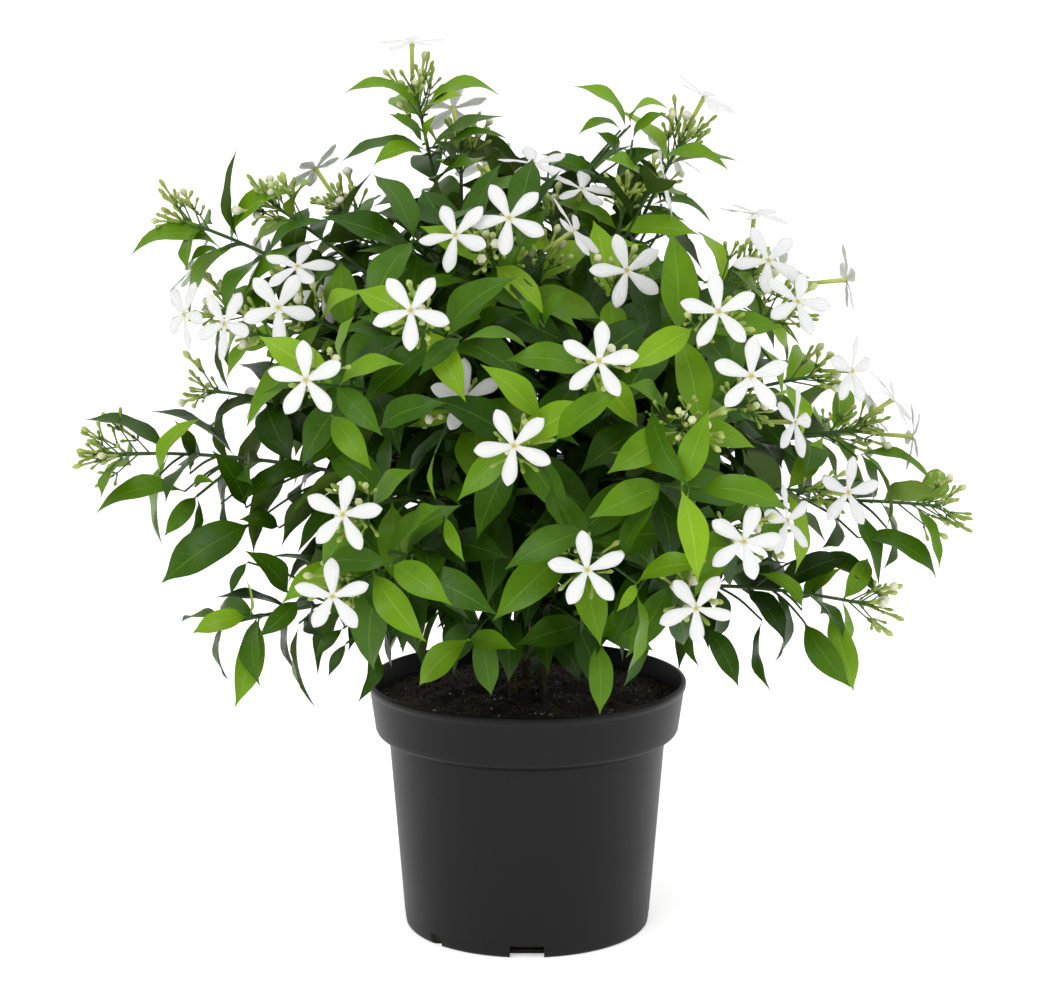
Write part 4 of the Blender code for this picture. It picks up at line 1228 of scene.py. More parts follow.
# Leaves that stand out in the photograph: photo places of root and tip, their depths behind the pot's axis,
# degrees that the blade bends through and that its face turns from upward to the front, tone, breadth
outerLeaves = [
    # Crown left spire
    ((422, 117), (345, 96), (14, 4), 110, 25, 0.72, 0.8),
    ((429, 116), (502, 96), (14, 8), 118, 25, 0.74, 0.85),
    ((424, 146), (390, 117), (14, -10), 50, 60, 0.6, 0.9),
    ((428, 149), (439, 118), (10, -8), 50, 85, 0.85, 0.95),
    ((426, 156), (377, 170), (12, 0), 125, 35, 0.75, 0.95),
    ((443, 154), (509, 141), (10, 0), 80, 20, 0.4, 0.8),
    ((457, 166), (437, 140), (14, -4), 50, 75, 0.25, 1.0),
    # Crown right spire
    ((626, 131), (573, 88), (20, 10), 85, 35, 0.8, 0.95),
    ((621, 132), (579, 138), (20, 6), 110, 25, 0.62, 0.8),
    ((631, 127), (668, 112), (20, 8), 130, 25, 0.9, 1.0),
    ((633, 142), (668, 116), (18, -2), 60, 55, 0.62, 0.95),
    ((618, 164), (597, 134), (18, -6), 50, 75, 0.42, 1.15),
    ((661, 160), (728, 170), (20, 10), 95, 30, 0.66, 0.85),
    ((598, 189), (545, 158), (10, 0), 80, 50, 0.4, 1.0),
    ((618, 187), (663, 152), (12, 0), 85, 50, 0.3, 1.1),
    ((635, 190), (658, 174), (10, 0), 50, 70, 0.25, 1.1),
    ((650, 208), (713, 224), (10, 0), 90, 12, 0.4, 0.8),
    ((630, 228), (688, 223), (6, 0), 75, 15, 0.42, 0.75),
    # Left spire
    ((223, 250), (133, 257), (0, -6), 110, 30, 0.68, 0.85),
    ((234, 248), (303, 196), (0, -6), 110, 35, 0.68, 0.9),
    ((269, 261), (332, 224), (-4, -10), 85, 25, 0.45, 0.85),
    ((223, 251), (193, 264), (0, -8), 110, 30, 0.55, 0.9),
    # Left branch
    ((188, 490), (99, 508), (0, -8), 85, 35, 0.58, 0.85),
    ((164, 472), (206, 415), (0, -8), 80, 50, 0.82, 0.85),
    ((192, 474), (178, 418), (0, -10), 40, 75, 0.55, 1.1),
    ((197, 487), (217, 484), (-4, -12), 150, 50, 0.74, 0.9),
    ((248, 508), (217, 448), (-10, -20), 45, 75, 0.26, 1.15),
    ((281, 528), (241, 517), (-10, -20), 75, 55, 0.28, 1.2),
    ((199, 496), (167, 537), (-2, -14), 80, 60, 0.55, 0.95),
    ((199, 497), (187, 542), (-4, -22), 60, 85, 0.55, 0.9),
    ((254, 524), (167, 588), (-8, -24), 80, 55, 0.34, 1.05),
    ((223, 504), (253, 466), (-8, -16), 60, 20, 0.5, 0.8),
    # Lower left
    ((290, 595), (248, 548), (-50, -70), 50, 70, 0.38, 1.1),
    ((250, 562), (231, 595), (-50, -60), 50, 20, 0.24, 0.9),
    ((254, 612), (249, 573), (-42, -50), 30, 60, 0.86, 0.75),
    ((250, 614), (195, 630), (-40, -48), 95, 60, 0.85, 1.0),
    ((259, 623), (231, 711), (-42, -60), 60, 60, 0.78, 0.85),
    ((301, 623), (319, 709), (-48, -72), 50, 112, 0.44, 1.0),
    ((345, 628), (317, 660), (-60, -72), 50, 30, 0.25, 0.9),
    ((348, 643), (331, 677), (-70, -80), 40, 25, 0.22, 0.9),
    ((376, 640), (361, 703), (-90, -110), 40, 80, 0.3, 1.1),
    ((345, 566), (281, 601), (-120, -140), 80, 50, 0.72, 0.95),
    ((300, 600), (262, 640), (-60, -80), 60, 60, 0.35, 1.0),
    # Right branch
    ((858, 538), (936, 581), (-2, -8), 95, 30, 0.46, 0.9),
    ((809, 557), (881, 600), (-10, -16), 75, 30, 0.28, 0.85),
    ((884, 524), (856, 447), (0, -8), 70, 25, 0.66, 0.75),
    ((872, 503), (858, 455), (-4, -14), 50, 70, 0.55, 1.1),
    ((855, 455), (931, 484), (0, -6), 85, 15, 0.6, 0.75),
    ((804, 607), (845, 573), (-28, -40), 50, 60, 0.7, 0.95),
    ((802, 610), (759, 570), (-30, -40), 80, 50, 0.7, 0.9),
    ((828, 614), (850, 692), (-30, -44), 85, 35, 0.82, 0.85),
    ((803, 619), (846, 688), (-30, -50), 60, 65, 0.5, 0.95),
    ((762, 620), (771, 693), (-40, -64), 45, 85, 0.4, 1.0),
    ((708, 626), (738, 687), (-60, -74), 60, 40, 0.27, 0.95),
    ((690, 618), (698, 668), (-70, -90), 40, 75, 0.4, 0.95),
    ((640, 620), (625, 690), (-90, -112), 40, 80, 0.3, 1.05),
    # Front
    ((638, 583), (713, 567), (-196, -206), 85, 40, 0.72, 0.95),
    ((637, 592), (628, 672), (-196, -214), 45, 80, 0.66, 1.0),
    ((637, 583), (617, 612), (-196, -208), 60, 60, 0.86, 0.9),
    ((333, 415), (377, 469), (-170, -192), 60, 55, 0.68, 1.0),
    ((345, 367), (357, 316), (-160, -172), 50, 75, 0.72, 1.2),
    ((343, 384), (407, 361), (-168, -182), 75, 45, 0.76, 0.9),
    ((381, 429), (448, 399), (-180, -196), 60, 60, 0.32, 1.1),
    ((543, 421), (479, 369), (-200, -212), 50, 65, 0.78, 1.0),
    ((530, 352), (463, 342), (-190, -200), 85, 25, 0.55, 0.8),
    ((463, 339), (421, 378), (-180, -194), 80, 45, 0.34, 0.9),
    ((540, 330), (518, 299), (-180, -190), 40, 70, 0.5, 1.2),
    ((545, 328), (569, 290), (-180, -192), 40, 65, 0.52, 1.1),
    ((556, 440), (626, 392), (-200, -212), 60, 60, 0.62, 1.0),
    ((652, 406), (687, 488), (-180, -204), 45, 85, 0.44, 1.0),
    ((689, 487), (612, 457), (-196, -206), 60, 50, 0.82, 0.9),
    ((690, 487), (693, 555), (-196, -212), 30, 88, 0.86, 0.95),
    ((697, 490), (788, 512), (-194, -200), 85, 50, 0.58, 0.95),
    ((375, 569), (427, 641), (-176, -196), 55, 70, 0.72, 1.0),
    ((412, 570), (500, 613), (-190, -206), 60, 60, 0.34, 1.0),
    ((388, 560), (463, 512), (-188, -200), 50, 60, 0.5, 1.0),
    ((553, 482), (566, 528), (-200, -214), 40, 85, 0.34, 1.15),
    ((622, 560), (663, 500), (-196, -206), 50, 60, 0.4, 0.95),
    ((437, 452), (438, 502), (-196, -210), 40, 75, 0.72, 0.75),
    ((447, 516), (467, 562), (-196, -210), 50, 60, 0.7, 0.8),
    ((592, 530), (508, 574), (-198, -212), 70, 50, 0.42, 0.95),
]

cyme = {
    "nodes": (1, 6, 12, 18, 26),  # back from the twig's tip
    "branch": (9, 19),
    "spread": (0.5, 1.2),
    "middleBud": (14, 22),
    "sideBud": (9, 17),
    "room": 0.6,
    "apart": (0.5, 0.95),  # how far the side buds lean away from the middle one
    "sway": (40, 30),  # degrees either way, for a branch and for its side buds
    "rise": (0.15, 0.1),
    "alongTwig": 0.3,  # how much the middle bud turns along the twig
    "shares": (0.6, 0.15),  # of a branch's length at the tip, and how much more at each node back
    "ripeness": 2,
    "lessRipe": (0.1, 0.6),
    "radii": (0.55, 0.45),
    "tones": (0.25, 0.15),
    "tries": 6,
}


# Adds what the solids leave out
def thicken(shrub):
    before = sum(len(shoot["leaves"]) for shoot in shrub.shoots.values())
    for shoot in shrub.shoots.values():
        ripenAndTurn(shrub, shoot)
    for tip, (_, _, buds) in shrub.tips.items():
        if buds:
            forkCyme(shrub, tip, buds)
    placeOuterLeaves(shrub)
    for tip in shrub.twigs:
        addOlderLeaves(shrub, tip)
    for number in range(lush["innerTwigs"]):
        addInnerTwig(shrub, number)
    after = sum(len(shoot["leaves"]) for shoot in shrub.shoots.values())
    print("leaves", before, "and then", after)


# Gives the buds their ripeness, and turns the leaves' faces to the light
def ripenAndTurn(shrub, shoot):
    for bud in shoot["buds"]:
        bud["ripe"] = shrub.more.random() ** lush["ripeness"]
    for row in shoot["leaves"]:
        root = row["root"]
        outward = Vector((root.x, root.y, 0)).normalized() * lush["turned"]
        front = Vector((0, -lush["turned"] if root.y < lush["turnedDepth"] * mm else 0, 0))
        row["face"] = across(row["aim"], row["face"] + (outward + front))


# Further pairs of older leaves down a twig
def addOlderLeaves(shrub, tip):
    azimuth, path, turn, back = shrub.twigs[tip]
    pair = shrub.tips[tip][1]
    reach = back + pair * plant["pairStep"] - 4
    while reach < back + lush["leafReach"]:
        spot = walkBack(path, reach * mm)
        if spot is None:
            break
        spin = turn + 90 * pair + lush["leafTurn"]
        shrub.addPair(shrub.more, azimuth, f"twig {tip}", spot, spin, 1.0, pair, **lush["habit"])
        reach += lush["leafStep"]
        pair += 1


# A short twig from one of the axes, which helps to fill the crown's middle
def addInnerTwig(shrub, number):
    more = shrub.more
    azimuth = shrub.azimuths[number % len(shrub.azimuths)]
    axis = axisPoints(azimuth)
    share = more.uniform(0.0, 1.0)
    start = axis[0] + (axis[-1] - axis[0]) * share
    spread = lush["innerSpread"]
    least, most, topRise = lush["innerRise"]
    outward = facing(azimuth + more.uniform(-spread, spread), more.uniform(least, most) + topRise * share)
    length = more.uniform(*lush["innerLength"]) * mm
    middle = start + outward * length * 0.5 + up * length * lush["humps"][0]
    path = bend(start, middle, start + outward * length, 6)
    while len(path) > 3 and not within(path[-1], lush["habit"]["outline"]):
        path.pop()
    length = (path[-1] - path[0]).length
    owner = f"inner {number}"
    shares = [i / (len(path) - 1) for i in range(len(path))]
    thick, thin = lush["innerRadii"]
    old, young = lush["innerTones"]
    radii = [thick - (thick - thin) * share for share in shares]
    shrub.shoots[azimuth]["paths"].append((path, radii, [old - (old - young) * share for share in shares]))
    shrub.crowd.add(roughTube(path, [r * mm for r in radii], 4), owner)
    reach, pair, turn = 2, 0, more.uniform(0, 180)
    while reach < length / mm - 8:
        spot, spin = walkBack(path, reach * mm), turn + 90 * pair
        shrub.addPair(more, azimuth, owner, spot, spin, lush["innerSize"], pair + 2, **lush["habit"])
        reach += lush["innerStep"]
        pair += 1


# A blade from root to tip as an arc: its way out, its face, its length and how far it bends
def archedBlade(root, tip, arc, turn):
    chord = tip - root
    along = chord.normalized()
    rise = across(along)
    level = along.cross(rise)
    turn, half = math.radians(turn), math.radians(arc) / 2
    hump = rise * math.cos(turn) + level * math.copysign(math.sin(turn), -level.y)
    aim = along * math.cos(half) + hump * math.sin(half)
    face = hump * math.cos(half) - along * math.sin(half)
    return aim, face, chord.length * half / math.sin(half), half * 2


# How far the nearest twig lies from a point, and where
def nearestTwig(shrub, point):
    best = None
    for number, (azimuth, path, *_) in shrub.twigs.items():
        for low, high in zip(path, path[1:]):
            _, share = intersect_point_line(point, low, high)
            spot = low + (high - low) * min(max(share, 0), 1)
            gap = (spot - point).length
            if best is None or gap < best[0]:
                best = (gap, spot, azimuth, f"twig {number}")
    return best


# A place for a blade, a little nearer or farther, where it touches nothing, or else at least no bloom
def freeSpot(crowd, root, blade, owner):
    for only in (None, "bloom"):
        for shift in lush["shifts"]:
            spot = root + Vector((0, shift * mm, 0))
            if not crowd.crossed(roughBlade(spot, *blade, leaf["room"] * mm), owner, only):
                return spot, only
    return None, "bloom"


# Each outer leaf stands on a side twig that slants outward
def placeOuterLeaves(shrub):
    placed, touching = 0, 0
    for root, tip, depths, arc, turn, tone, breadth in outerLeaves:
        root, tip = fromPhoto(*root, depths[0]), fromPhoto(*tip, depths[1])
        inward = Vector((-root[0], -root[1], 0)).normalized()
        root, tip = place(root), place(tip)
        gap = nearestTwig(shrub, root)[0]
        _, start, azimuth, owner = nearestTwig(shrub, root + inward * gap * lush["sideTwigInward"])
        aim, face, length, droop = archedBlade(root, tip, arc, turn)
        blade = (aim, face, length, droop, breadth)
        spot, only = freeSpot(shrub.crowd, root, blade, owner)
        if spot is None:
            continue
        placed += 1
        touching += only is not None
        shrub.crowd.add(roughBlade(spot, *blade), "leaf")
        shrub.shoots[azimuth]["leaves"].append({
            "root": spot, "aim": aim, "face": face, "length": length / leafForm["longer"],
            "droop": droop / leafForm["bend"], "stretch": breadth, "tone": tone,
        })
        if gap > 1 * mm:
            path = [start, (start + spot) / 2 + up * gap * lush["humps"][1], spot]
            shrub.shoots[azimuth]["paths"].append((path, lush["sideTwigRadii"], lush["sideTwigTones"]))
    print("outer leaves placed:", placed, "of", len(outerLeaves))
    print("outer leaves that touch a leaf, bud or twig:", touching)


# The sprays' smaller branches: each forks from the twig near its tip and ends in three buds
def forkCyme(shrub, tip, buds):
    more = shrub.more
    azimuth, path = shrub.twigs[tip][:2]
    shoot = shrub.shoots[azimuth]
    spin = more.uniform(0, 360)
    (sway, budSway), (rise, budRise), (first, further) = (cyme[name] for name in ("sway", "rise", "shares"))
    for level, back in enumerate(cyme["nodes"][:2 + (buds + 1) // 2]):
        root, along = walkBack(path, back * mm)
        for half in range(2):
            for _ in range(cyme["tries"]):
                side = turnedSide(along, spin + 90 * level + 180 * half + more.uniform(-sway, sway))
                aim = (along + side * more.uniform(*cyme["spread"]) + up * rise).normalized()
                fork = root + aim * more.uniform(*cyme["branch"]) * (first + further * level) * mm
                away = turnedSide(aim, spin + 90 + more.uniform(-budSway, budSway))
                away *= more.uniform(*cyme["apart"])
                lean = [aim + along * cyme["alongTwig"], aim + away + up * budRise, aim - away + up * budRise]
                lengths = [more.uniform(*cyme[size]) * mm for size in ("middleBud", "sideBud", "sideBud")]
                trio = [(lean[i].normalized(), lengths[i]) for i in range(3)]
                bodies = [roughBud(fork, way, length, cyme["room"] * mm) for way, length in trio]
                if not any(shrub.crowd.crossed(body, f"twig {tip}") for body in bodies):
                    break
            else:
                continue
            shoot["paths"].append(([root, fork], cyme["radii"], cyme["tones"]))
            ripe = more.random() ** cyme["ripeness"]
            for (way, length), body in zip(trio, bodies):
                shrub.crowd.add(body, f"twig {tip}")
                shoot["buds"].append({"root": fork, "aim": way, "length": length, "ripe": ripe})
                ripe *= more.uniform(*cyme["lessRipe"])


# The forms of one leaf, one petal and one bud. An outline is share along, width as a share
leafForm = {
    "outline": [
        (0.0, 0.075), (0.05, 0.07), (0.09, 0.13), (0.14, 0.33), (0.20, 0.56), (0.27, 0.77), (0.35, 0.92),
        (0.43, 0.99), (0.50, 1.0), (0.58, 0.95), (0.66, 0.83), (0.73, 0.67), (0.80, 0.46), (0.86, 0.27),
        (0.92, 0.12), (0.97, 0.045), (1.0, 0.0),
    ],
    "wide": 0.345,
    "longer": 1.15,
    "lengthened": 230,  # leaves that start lower keep their length
    "fold": 0.30,
    "bend": 1.15,
    "thick": 0.55,
    "ripple": 0.12,
    "curl": (-0.07, 0.07),  # how far the tip bends sideways, as a share of the length
}

# How pale a leaf is: the least, chance, youth where painted light falls on the outer crown, painted light on
# a high place, and how much painted shade darkens a low one
leafTone = {
    "least": 0.10, "chance": 0.30, "young": 0.60, "high": 0.12, "low": 0.22,
    "rarity": 1.5,  # the higher, the fewer leaves that are light by chance
    "ageing": 0.42,  # how much older each pair down a twig is
    "ages": (-0.55, 0.2),
    # A level, how much the height above it counts, and how far out the painted light starts and its span
    "light": (200, 0.6, 40, 130),
    # Painted light on high leaves: the level where it starts, and its span
    "paintedLightLevels": (360, 120),  # the start and its span
    # Painted shade on low leaves: the level below which it is full, and the span over which it fades
    "paintedShadeLevels": (150, 190),
}

petalForm = {
    "outline": [
        (0.05, 0.34), (0.13, 0.38), (0.22, 0.50), (0.32, 0.66), (0.43, 0.82), (0.54, 0.94), (0.64, 1.0),
        (0.73, 0.98), (0.81, 0.87), (0.88, 0.68), (0.94, 0.42), (0.98, 0.18), (1.0, 0.0),
    ],
    "thick": 0.85,
    "slim": 0.85,
    "lively": 1.4,  # how much more the petals rise and fall than in the solids
    "cup": 0.9,
    "longer": 1.03,
    "twist": (-8, 18),
    "fold": -0.13,
    "ripple": 0.07,
    "curl": (-0.05, 0.05),
    "stretch": (0.94, 1.04),
    "leastDroop": 0.01,
    # The tube's points as shares of its length, how far it ends past the petals' middle, its radii and tones
    "tubeShares": (0.5, 0.85),
    "tubeEnd": 0.1,
    "tubeRadii": (1.2, 1.35, 1.5, 2.0),
    "tubeTones": (0.0, 0.5, 0.85, 1.0),
}

budForm = {
    "sides": 6,
    # Share along, radius as a share of the bud's girth, how much of the head's swelling it takes
    "rings": [
        (0.0, 0.26, 0), (0.15, 0.25, 0), (0.18, 0.60, 0), (0.27, 0.58, 0), (0.30, 0.44, 0),
        (0.64, 0.54, 0.05), (0.72, 0.70, 0.45), (0.80, 0.90, 0.95), (0.88, 0.92, 1), (0.945, 0.66, 0.75),
        (0.985, 0.30, 0.4),
    ],
    "girth": (0.95, 0.4, 0.8),  # least, and how much more for a length of 20 mm and for a ripe one
    "headSwelling": 0.75,
    "sunk": 0.5,
}


def setTrait(mesh, name, kind, values):
    trait = mesh.attributes.new(name, kind, "POINT")
    flat = np.array(values, dtype=np.int32 if kind == "INT" else np.float32).ravel()
    trait.data.foreach_set("vector" if kind == "FLOAT_VECTOR" else "value", flat)


# A flat closed blade in shares: local is (along, across, side of the blade), wide is its outline.
# Both faces are split alike, so they don't cross where the blade twists
def bladeForm(name, form):
    local, wide, faces = [], [], []
    for share, width in form["outline"][:-1]:
        local += [(share, -1, 0), (share, 0, 1), (share, 1, 0), (share, 0, -1)]
        wide += [width] * 4
    tip = len(local)
    local.append((1.0, 0, 0))
    wide.append(0.0)
    for ring in range(0, tip - 4, 4):
        left, top, right, low = range(ring, ring + 4)
        faces += [(left, top, top + 4, left + 4), (left, left + 4, low + 4, low)]
        faces += [(right, right + 4, top + 4, top), (right, low, low + 4, right + 4)]
    left, top, right, low = range(tip - 4, tip)
    faces += [(left, top, tip), (left, tip, low), (right, tip, top), (right, low, tip), (0, 3, 2, 1)]
    mesh = meshOf(name, local, faces)
    setTrait(mesh, "local", "FLOAT_VECTOR", local)
    setTrait(mesh, "wide", "FLOAT", wide)
    return addObject(name, mesh)


def budShape(name):
    sides = budForm["sides"]
    local, swell, girth = [], [], []
    for share, radius, head in budForm["rings"]:
        for k in range(sides):
            a = 2 * math.pi * k / sides
            local.append((share, math.cos(a), math.sin(a)))
            girth.append(radius)
            swell.append(head)
    tip = len(local)
    local.append((1.0, 0, 0))
    girth.append(0.0)
    swell.append(0.0)
    faces = ringFaces(tip // sides, sides)
    faces += [(tip - sides + k, tip - sides + (k + 1) % sides, tip) for k in range(sides)]
    faces.append(tuple(range(sides - 1, -1, -1)))
    mesh = meshOf(name, local, faces)
    setTrait(mesh, "local", "FLOAT_VECTOR", local)
    setTrait(mesh, "wide", "FLOAT", girth)
    setTrait(mesh, "swell", "FLOAT", swell)
    return addObject(name, mesh)


def newTree(name, sockets):
    tree = bpy.data.node_groups.new(name, "GeometryNodeTree")
    graph = Graph(tree)
    tree.interface.new_socket("Geometry", in_out="OUTPUT", socket_type="NodeSocketGeometry")
    tree.interface.new_socket("Geometry", in_out="INPUT", socket_type="NodeSocketGeometry")
    for socket, kind in sockets.items():
        tree.interface.new_socket(socket, in_out="INPUT", socket_type="NodeSocket" + kind)
    entry = tree.nodes.new("NodeGroupInput")
    return graph, {name: Wire(graph, entry.outputs[name]) for name in ["Geometry", *sockets]}


def endTree(graph, geometry):
    leave = graph.tree.nodes.new("NodeGroupOutput")
    graph.tree.links.new(geometry.socket, leave.inputs[0])
    return graph.tree


# Blades and buds stand on points, and tubes follow edges. Every point carries the traits that shape its piece
def growthTree():
    graph, given = newTree("growth", {
        "Blade form": "Object", "Bud form": "Object", "Blade width": "Float", "Blade thickness": "Float",
        "Fold": "Float", "Arch": "Float", "Ripple": "Float", "Head swelling": "Float", "Tube sides": "Int",
        "Blade finish": "Material", "Bud finish": "Material", "Tube finish": "Material",
    })
    aim, face = graph.named("aim", "FLOAT_VECTOR"), graph.named("face", "FLOAT_VECTOR")
    root = graph.named("root", "FLOAT_VECTOR")
    length, droop = graph.named("length"), graph.named("droop")
    along, beside, facet = graph.split(graph.named("local", "FLOAT_VECTOR"))
    wide, tone = graph.named("wide"), graph.named("tone")
    side = graph.vector("CROSS_PRODUCT", aim, face)

    def stand(kind, form):
        alike = {"data_type": "INT", "operation": "EQUAL"}
        match = graph.add("FunctionNodeCompare", alike, {2: graph.named("kind", "INT"), 3: kind})
        shape = graph.add("GeometryNodeObjectInfo", {}, {"Object": form}, "Geometry")
        stood = graph.add("GeometryNodeInstanceOnPoints", {}, {
            "Points": given["Geometry"], "Selection": match, "Instance": shape,
        })
        return graph.add("GeometryNodeRealizeInstances", {}, {"Geometry": stood})

    def lay(geometry, parts, finish):
        spot = root
        for direction, amount in parts:
            spot = graph.vector("ADD", spot, graph.scaled(direction, amount))
        laid = graph.add("GeometryNodeSetPosition", {}, {"Geometry": geometry, "Position": spot})
        return graph.add("GeometryNodeSetMaterial", {}, {"Geometry": laid, "Material": finish})

    # A blade bends down along an arc, and its halves rise from the midrib
    turn = along * droop
    half = length * given["Blade width"] * 0.5 * graph.named("stretch") * wide
    shift = half * beside
    phase = graph.named("phase")
    width = abs(beside)
    ripple = graph.calc("SINE", along * 13 + phase + beside * 2) * given["Ripple"] * half * width * width
    fold = abs(shift) * given["Fold"] * (1.5 - width * 0.5)
    arch = graph.calc("SINE", along * math.pi) * given["Arch"]
    thickness = facet * given["Blade thickness"] * graph.calc("MINIMUM", wide * 3, 1)
    lift = fold + ripple + thickness
    sine, cosine = graph.calc("SINE", turn), graph.calc("COSINE", turn)
    curl = graph.named("curl") * length * along * along
    blades = lay(stand(1, given["Blade form"]), [
        (aim, sine / droop * length + sine * lift),
        (face, (cosine - 1) / droop * length + cosine * lift + arch),
        (side, shift + curl),
    ], given["Blade finish"])

    # A bud is round, and its head swells as it ripens
    girth = graph.named("thick") * wide * (1 + graph.named("swell") * tone * given["Head swelling"])
    buds = lay(stand(2, given["Bud form"]), [
        (aim, along * length),
        (side, beside * girth),
        (face, facet * girth),
    ], given["Bud finish"])

    paths = graph.add("GeometryNodeMeshToCurve", {}, {"Mesh": given["Geometry"]})
    circle = {"Resolution": given["Tube sides"], "Radius": 1.0}
    ring = graph.add("GeometryNodeCurvePrimitiveCircle", {}, circle)
    tubes = graph.add("GeometryNodeCurveToMesh", {}, {
        "Curve": paths, "Profile Curve": ring, "Scale": graph.named("thick"), "Fill Caps": True,
    })
    tubes = graph.add("GeometryNodeSetMaterial", {}, {"Geometry": tubes, "Material": given["Tube finish"]})

    join = graph.tree.nodes.new("GeometryNodeJoinGeometry")
    for part in (blades, buds, tubes):
        graph.tree.links.new(part.socket, join.inputs[0])
    return endTree(graph, Wire(graph, join.outputs[0]))


# Grains strewn over a surface, each turned and stretched at random
def grainTree():
    graph, given = newTree("grains", {
        "Density": "Float", "Smallest": "Float", "Largest": "Float", "Flatness": "Float", "Reach": "Float",
        "Lowest": "Float", "Roundness": "Int", "Seed": "Int", "Finish": "Material",
    })
    position = graph.add("GeometryNodeInputPosition")
    x, y, z = graph.split(position)
    inside = graph.calc("LESS_THAN", graph.calc("SQRT", x * x + y * y), given["Reach"])
    level = graph.calc("GREATER_THAN", z, given["Lowest"])
    strewn = graph.add("GeometryNodeDistributePointsOnFaces", {}, {
        "Mesh": given["Geometry"], "Density": given["Density"], "Seed": given["Seed"],
        "Selection": inside * level,
    })

    def chance(kind, low, high, offset):
        first = {"FLOAT_VECTOR": 0, "FLOAT": 2}[kind]
        out = {"FLOAT_VECTOR": 0, "FLOAT": 1}[kind]
        return graph.add("FunctionNodeRandomValue", {"data_type": kind}, {
            first: low, first + 1: high, "Seed": given["Seed"] + offset,
        }, out)

    size = chance("FLOAT", 0.0, 1.0, 1)
    size = given["Smallest"] + (given["Largest"] - given["Smallest"]) * size * size
    shape = chance("FLOAT_VECTOR", *grainForm["stretch"], 2)
    turns = chance("FLOAT_VECTOR", (0, 0, 0), (fullTurn, fullTurn, fullTurn), 3)
    turn = graph.add("FunctionNodeEulerToRotation", {}, {0: turns})
    tone = chance("FLOAT", 0.0, 1.0, 4)
    marked = graph.add("GeometryNodeStoreNamedAttribute", {"data_type": "FLOAT", "domain": "POINT"}, {
        "Geometry": strewn, "Name": "tone", "Value": tone,
    })
    grain = graph.add("GeometryNodeMeshIcoSphere", {}, {"Radius": 0.5, "Subdivisions": given["Roundness"]})
    stood = graph.add("GeometryNodeInstanceOnPoints", {}, {
        "Points": marked, "Instance": grain, "Rotation": turn, "Scale": graph.scaled(shape, size),
    })
    real = graph.add("GeometryNodeRealizeInstances", {}, {"Geometry": stood})
    bumps = graph.add("ShaderNodeTexNoise", {}, {
        "Vector": position, "Scale": grainForm["bumps"], "Detail": 1.0,
    })
    normal = graph.add("GeometryNodeInputNormal")
    rough = graph.add("GeometryNodeSetPosition", {}, {
        "Geometry": real, "Offset": graph.scaled(normal, (bumps - 0.5) * given["Flatness"]),
    })
    done = graph.add("GeometryNodeSetMaterial", {}, {"Geometry": rough, "Material": given["Finish"]})
    return endTree(graph, done)


# What every point of a skeleton carries, and what the forms bring
pointTraits = {
    "kind": "INT", "root": "FLOAT_VECTOR", "aim": "FLOAT_VECTOR", "face": "FLOAT_VECTOR",
    "length": "FLOAT", "droop": "FLOAT", "stretch": "FLOAT", "tone": "FLOAT", "phase": "FLOAT",
    "curl": "FLOAT", "thick": "FLOAT", "wide": "FLOAT", "swell": "FLOAT",
}


# Runs a tree on a mesh and keeps the result as a plain mesh, with the traits that its finishes read
def grown(name, mesh, tree, values, keep=("tone",)):
    piece = addObject(name, mesh)
    step = piece.modifiers.new("growth", "NODES")
    step.node_group = tree
    for socket in tree.interface.items_tree:
        if socket.in_out == "INPUT" and socket.name in values:
            step[socket.identifier] = values[socket.name]
    settle(piece)
    for trait in [a.name for a in piece.data.attributes]:
        if trait in pointTraits and trait not in keep:
            piece.data.attributes.remove(piece.data.attributes[trait])
    return piece


# A smooth run of points through a few, with radii and tones to match
def smoothRun(points, radii, tones, steps):
    run = []
    ends = [points[0] * 2 - points[1], *points, points[-1] * 2 - points[-2]]
    for i in range(len(points) - 1):
        a, b, c, d = ends[i:i + 4]
        for k in range(steps):
            t = k / steps
            spot = b * 2 + (c - a) * t + (a * 2 - b * 5 + c * 4 - d) * t**2 + (b * 3 - a - c * 3 + d) * t**3
            radius, tone = (row[i] + (row[i + 1] - row[i]) * t for row in (radii, tones))
            run.append((spot * 0.5, radius, tone))
    run.append((points[-1], radii[-1], tones[-1]))
    return run


# The mesh of points and edges that the growth tree works on
def skeleton(name, runs, stands):
    blank = {
        "kind": 0, "root": Vector(), "aim": up, "face": Vector((1, 0, 0)), "length": 1, "droop": 1,
        "stretch": 1, "tone": 0, "phase": 0, "curl": 0, "thick": 0,
    }
    rows, edges = [], []
    for run in runs:
        for i, (spot, radius, tone) in enumerate(run):
            if i:
                edges.append((len(rows) - 1, len(rows)))
            rows.append({**blank, "root": spot, "thick": radius * mm, "tone": tone})
    rows += [{**blank, **stand} for stand in stands]
    mesh = bpy.data.meshes.new(name)
    mesh.from_pydata([tuple(row["root"]) for row in rows], edges, [])
    for trait in blank:
        setTrait(mesh, trait, pointTraits[trait], [row[trait] for row in rows])
    return mesh


def makeStems(tree):
    finish = makeFinish("brownBark", paintBark, **{"Specular IOR Level": 0.25})
    for number, stem in enumerate(plant["stems"]):
        runs = [smoothRun(points, radii, [0] * len(points), 8) for points, radii in stemPaths(stem)]
        values = {"Tube sides": 16, "Tube finish": finish}
        piece = grown(f"woodyStem{number + 1}", skeleton("stem", runs, []), tree, values, ())
        dress(piece, None, crispAngles["stem"])
        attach(piece, "root")
        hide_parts(f"stem_{number + 1}")
    print("woody stems made")
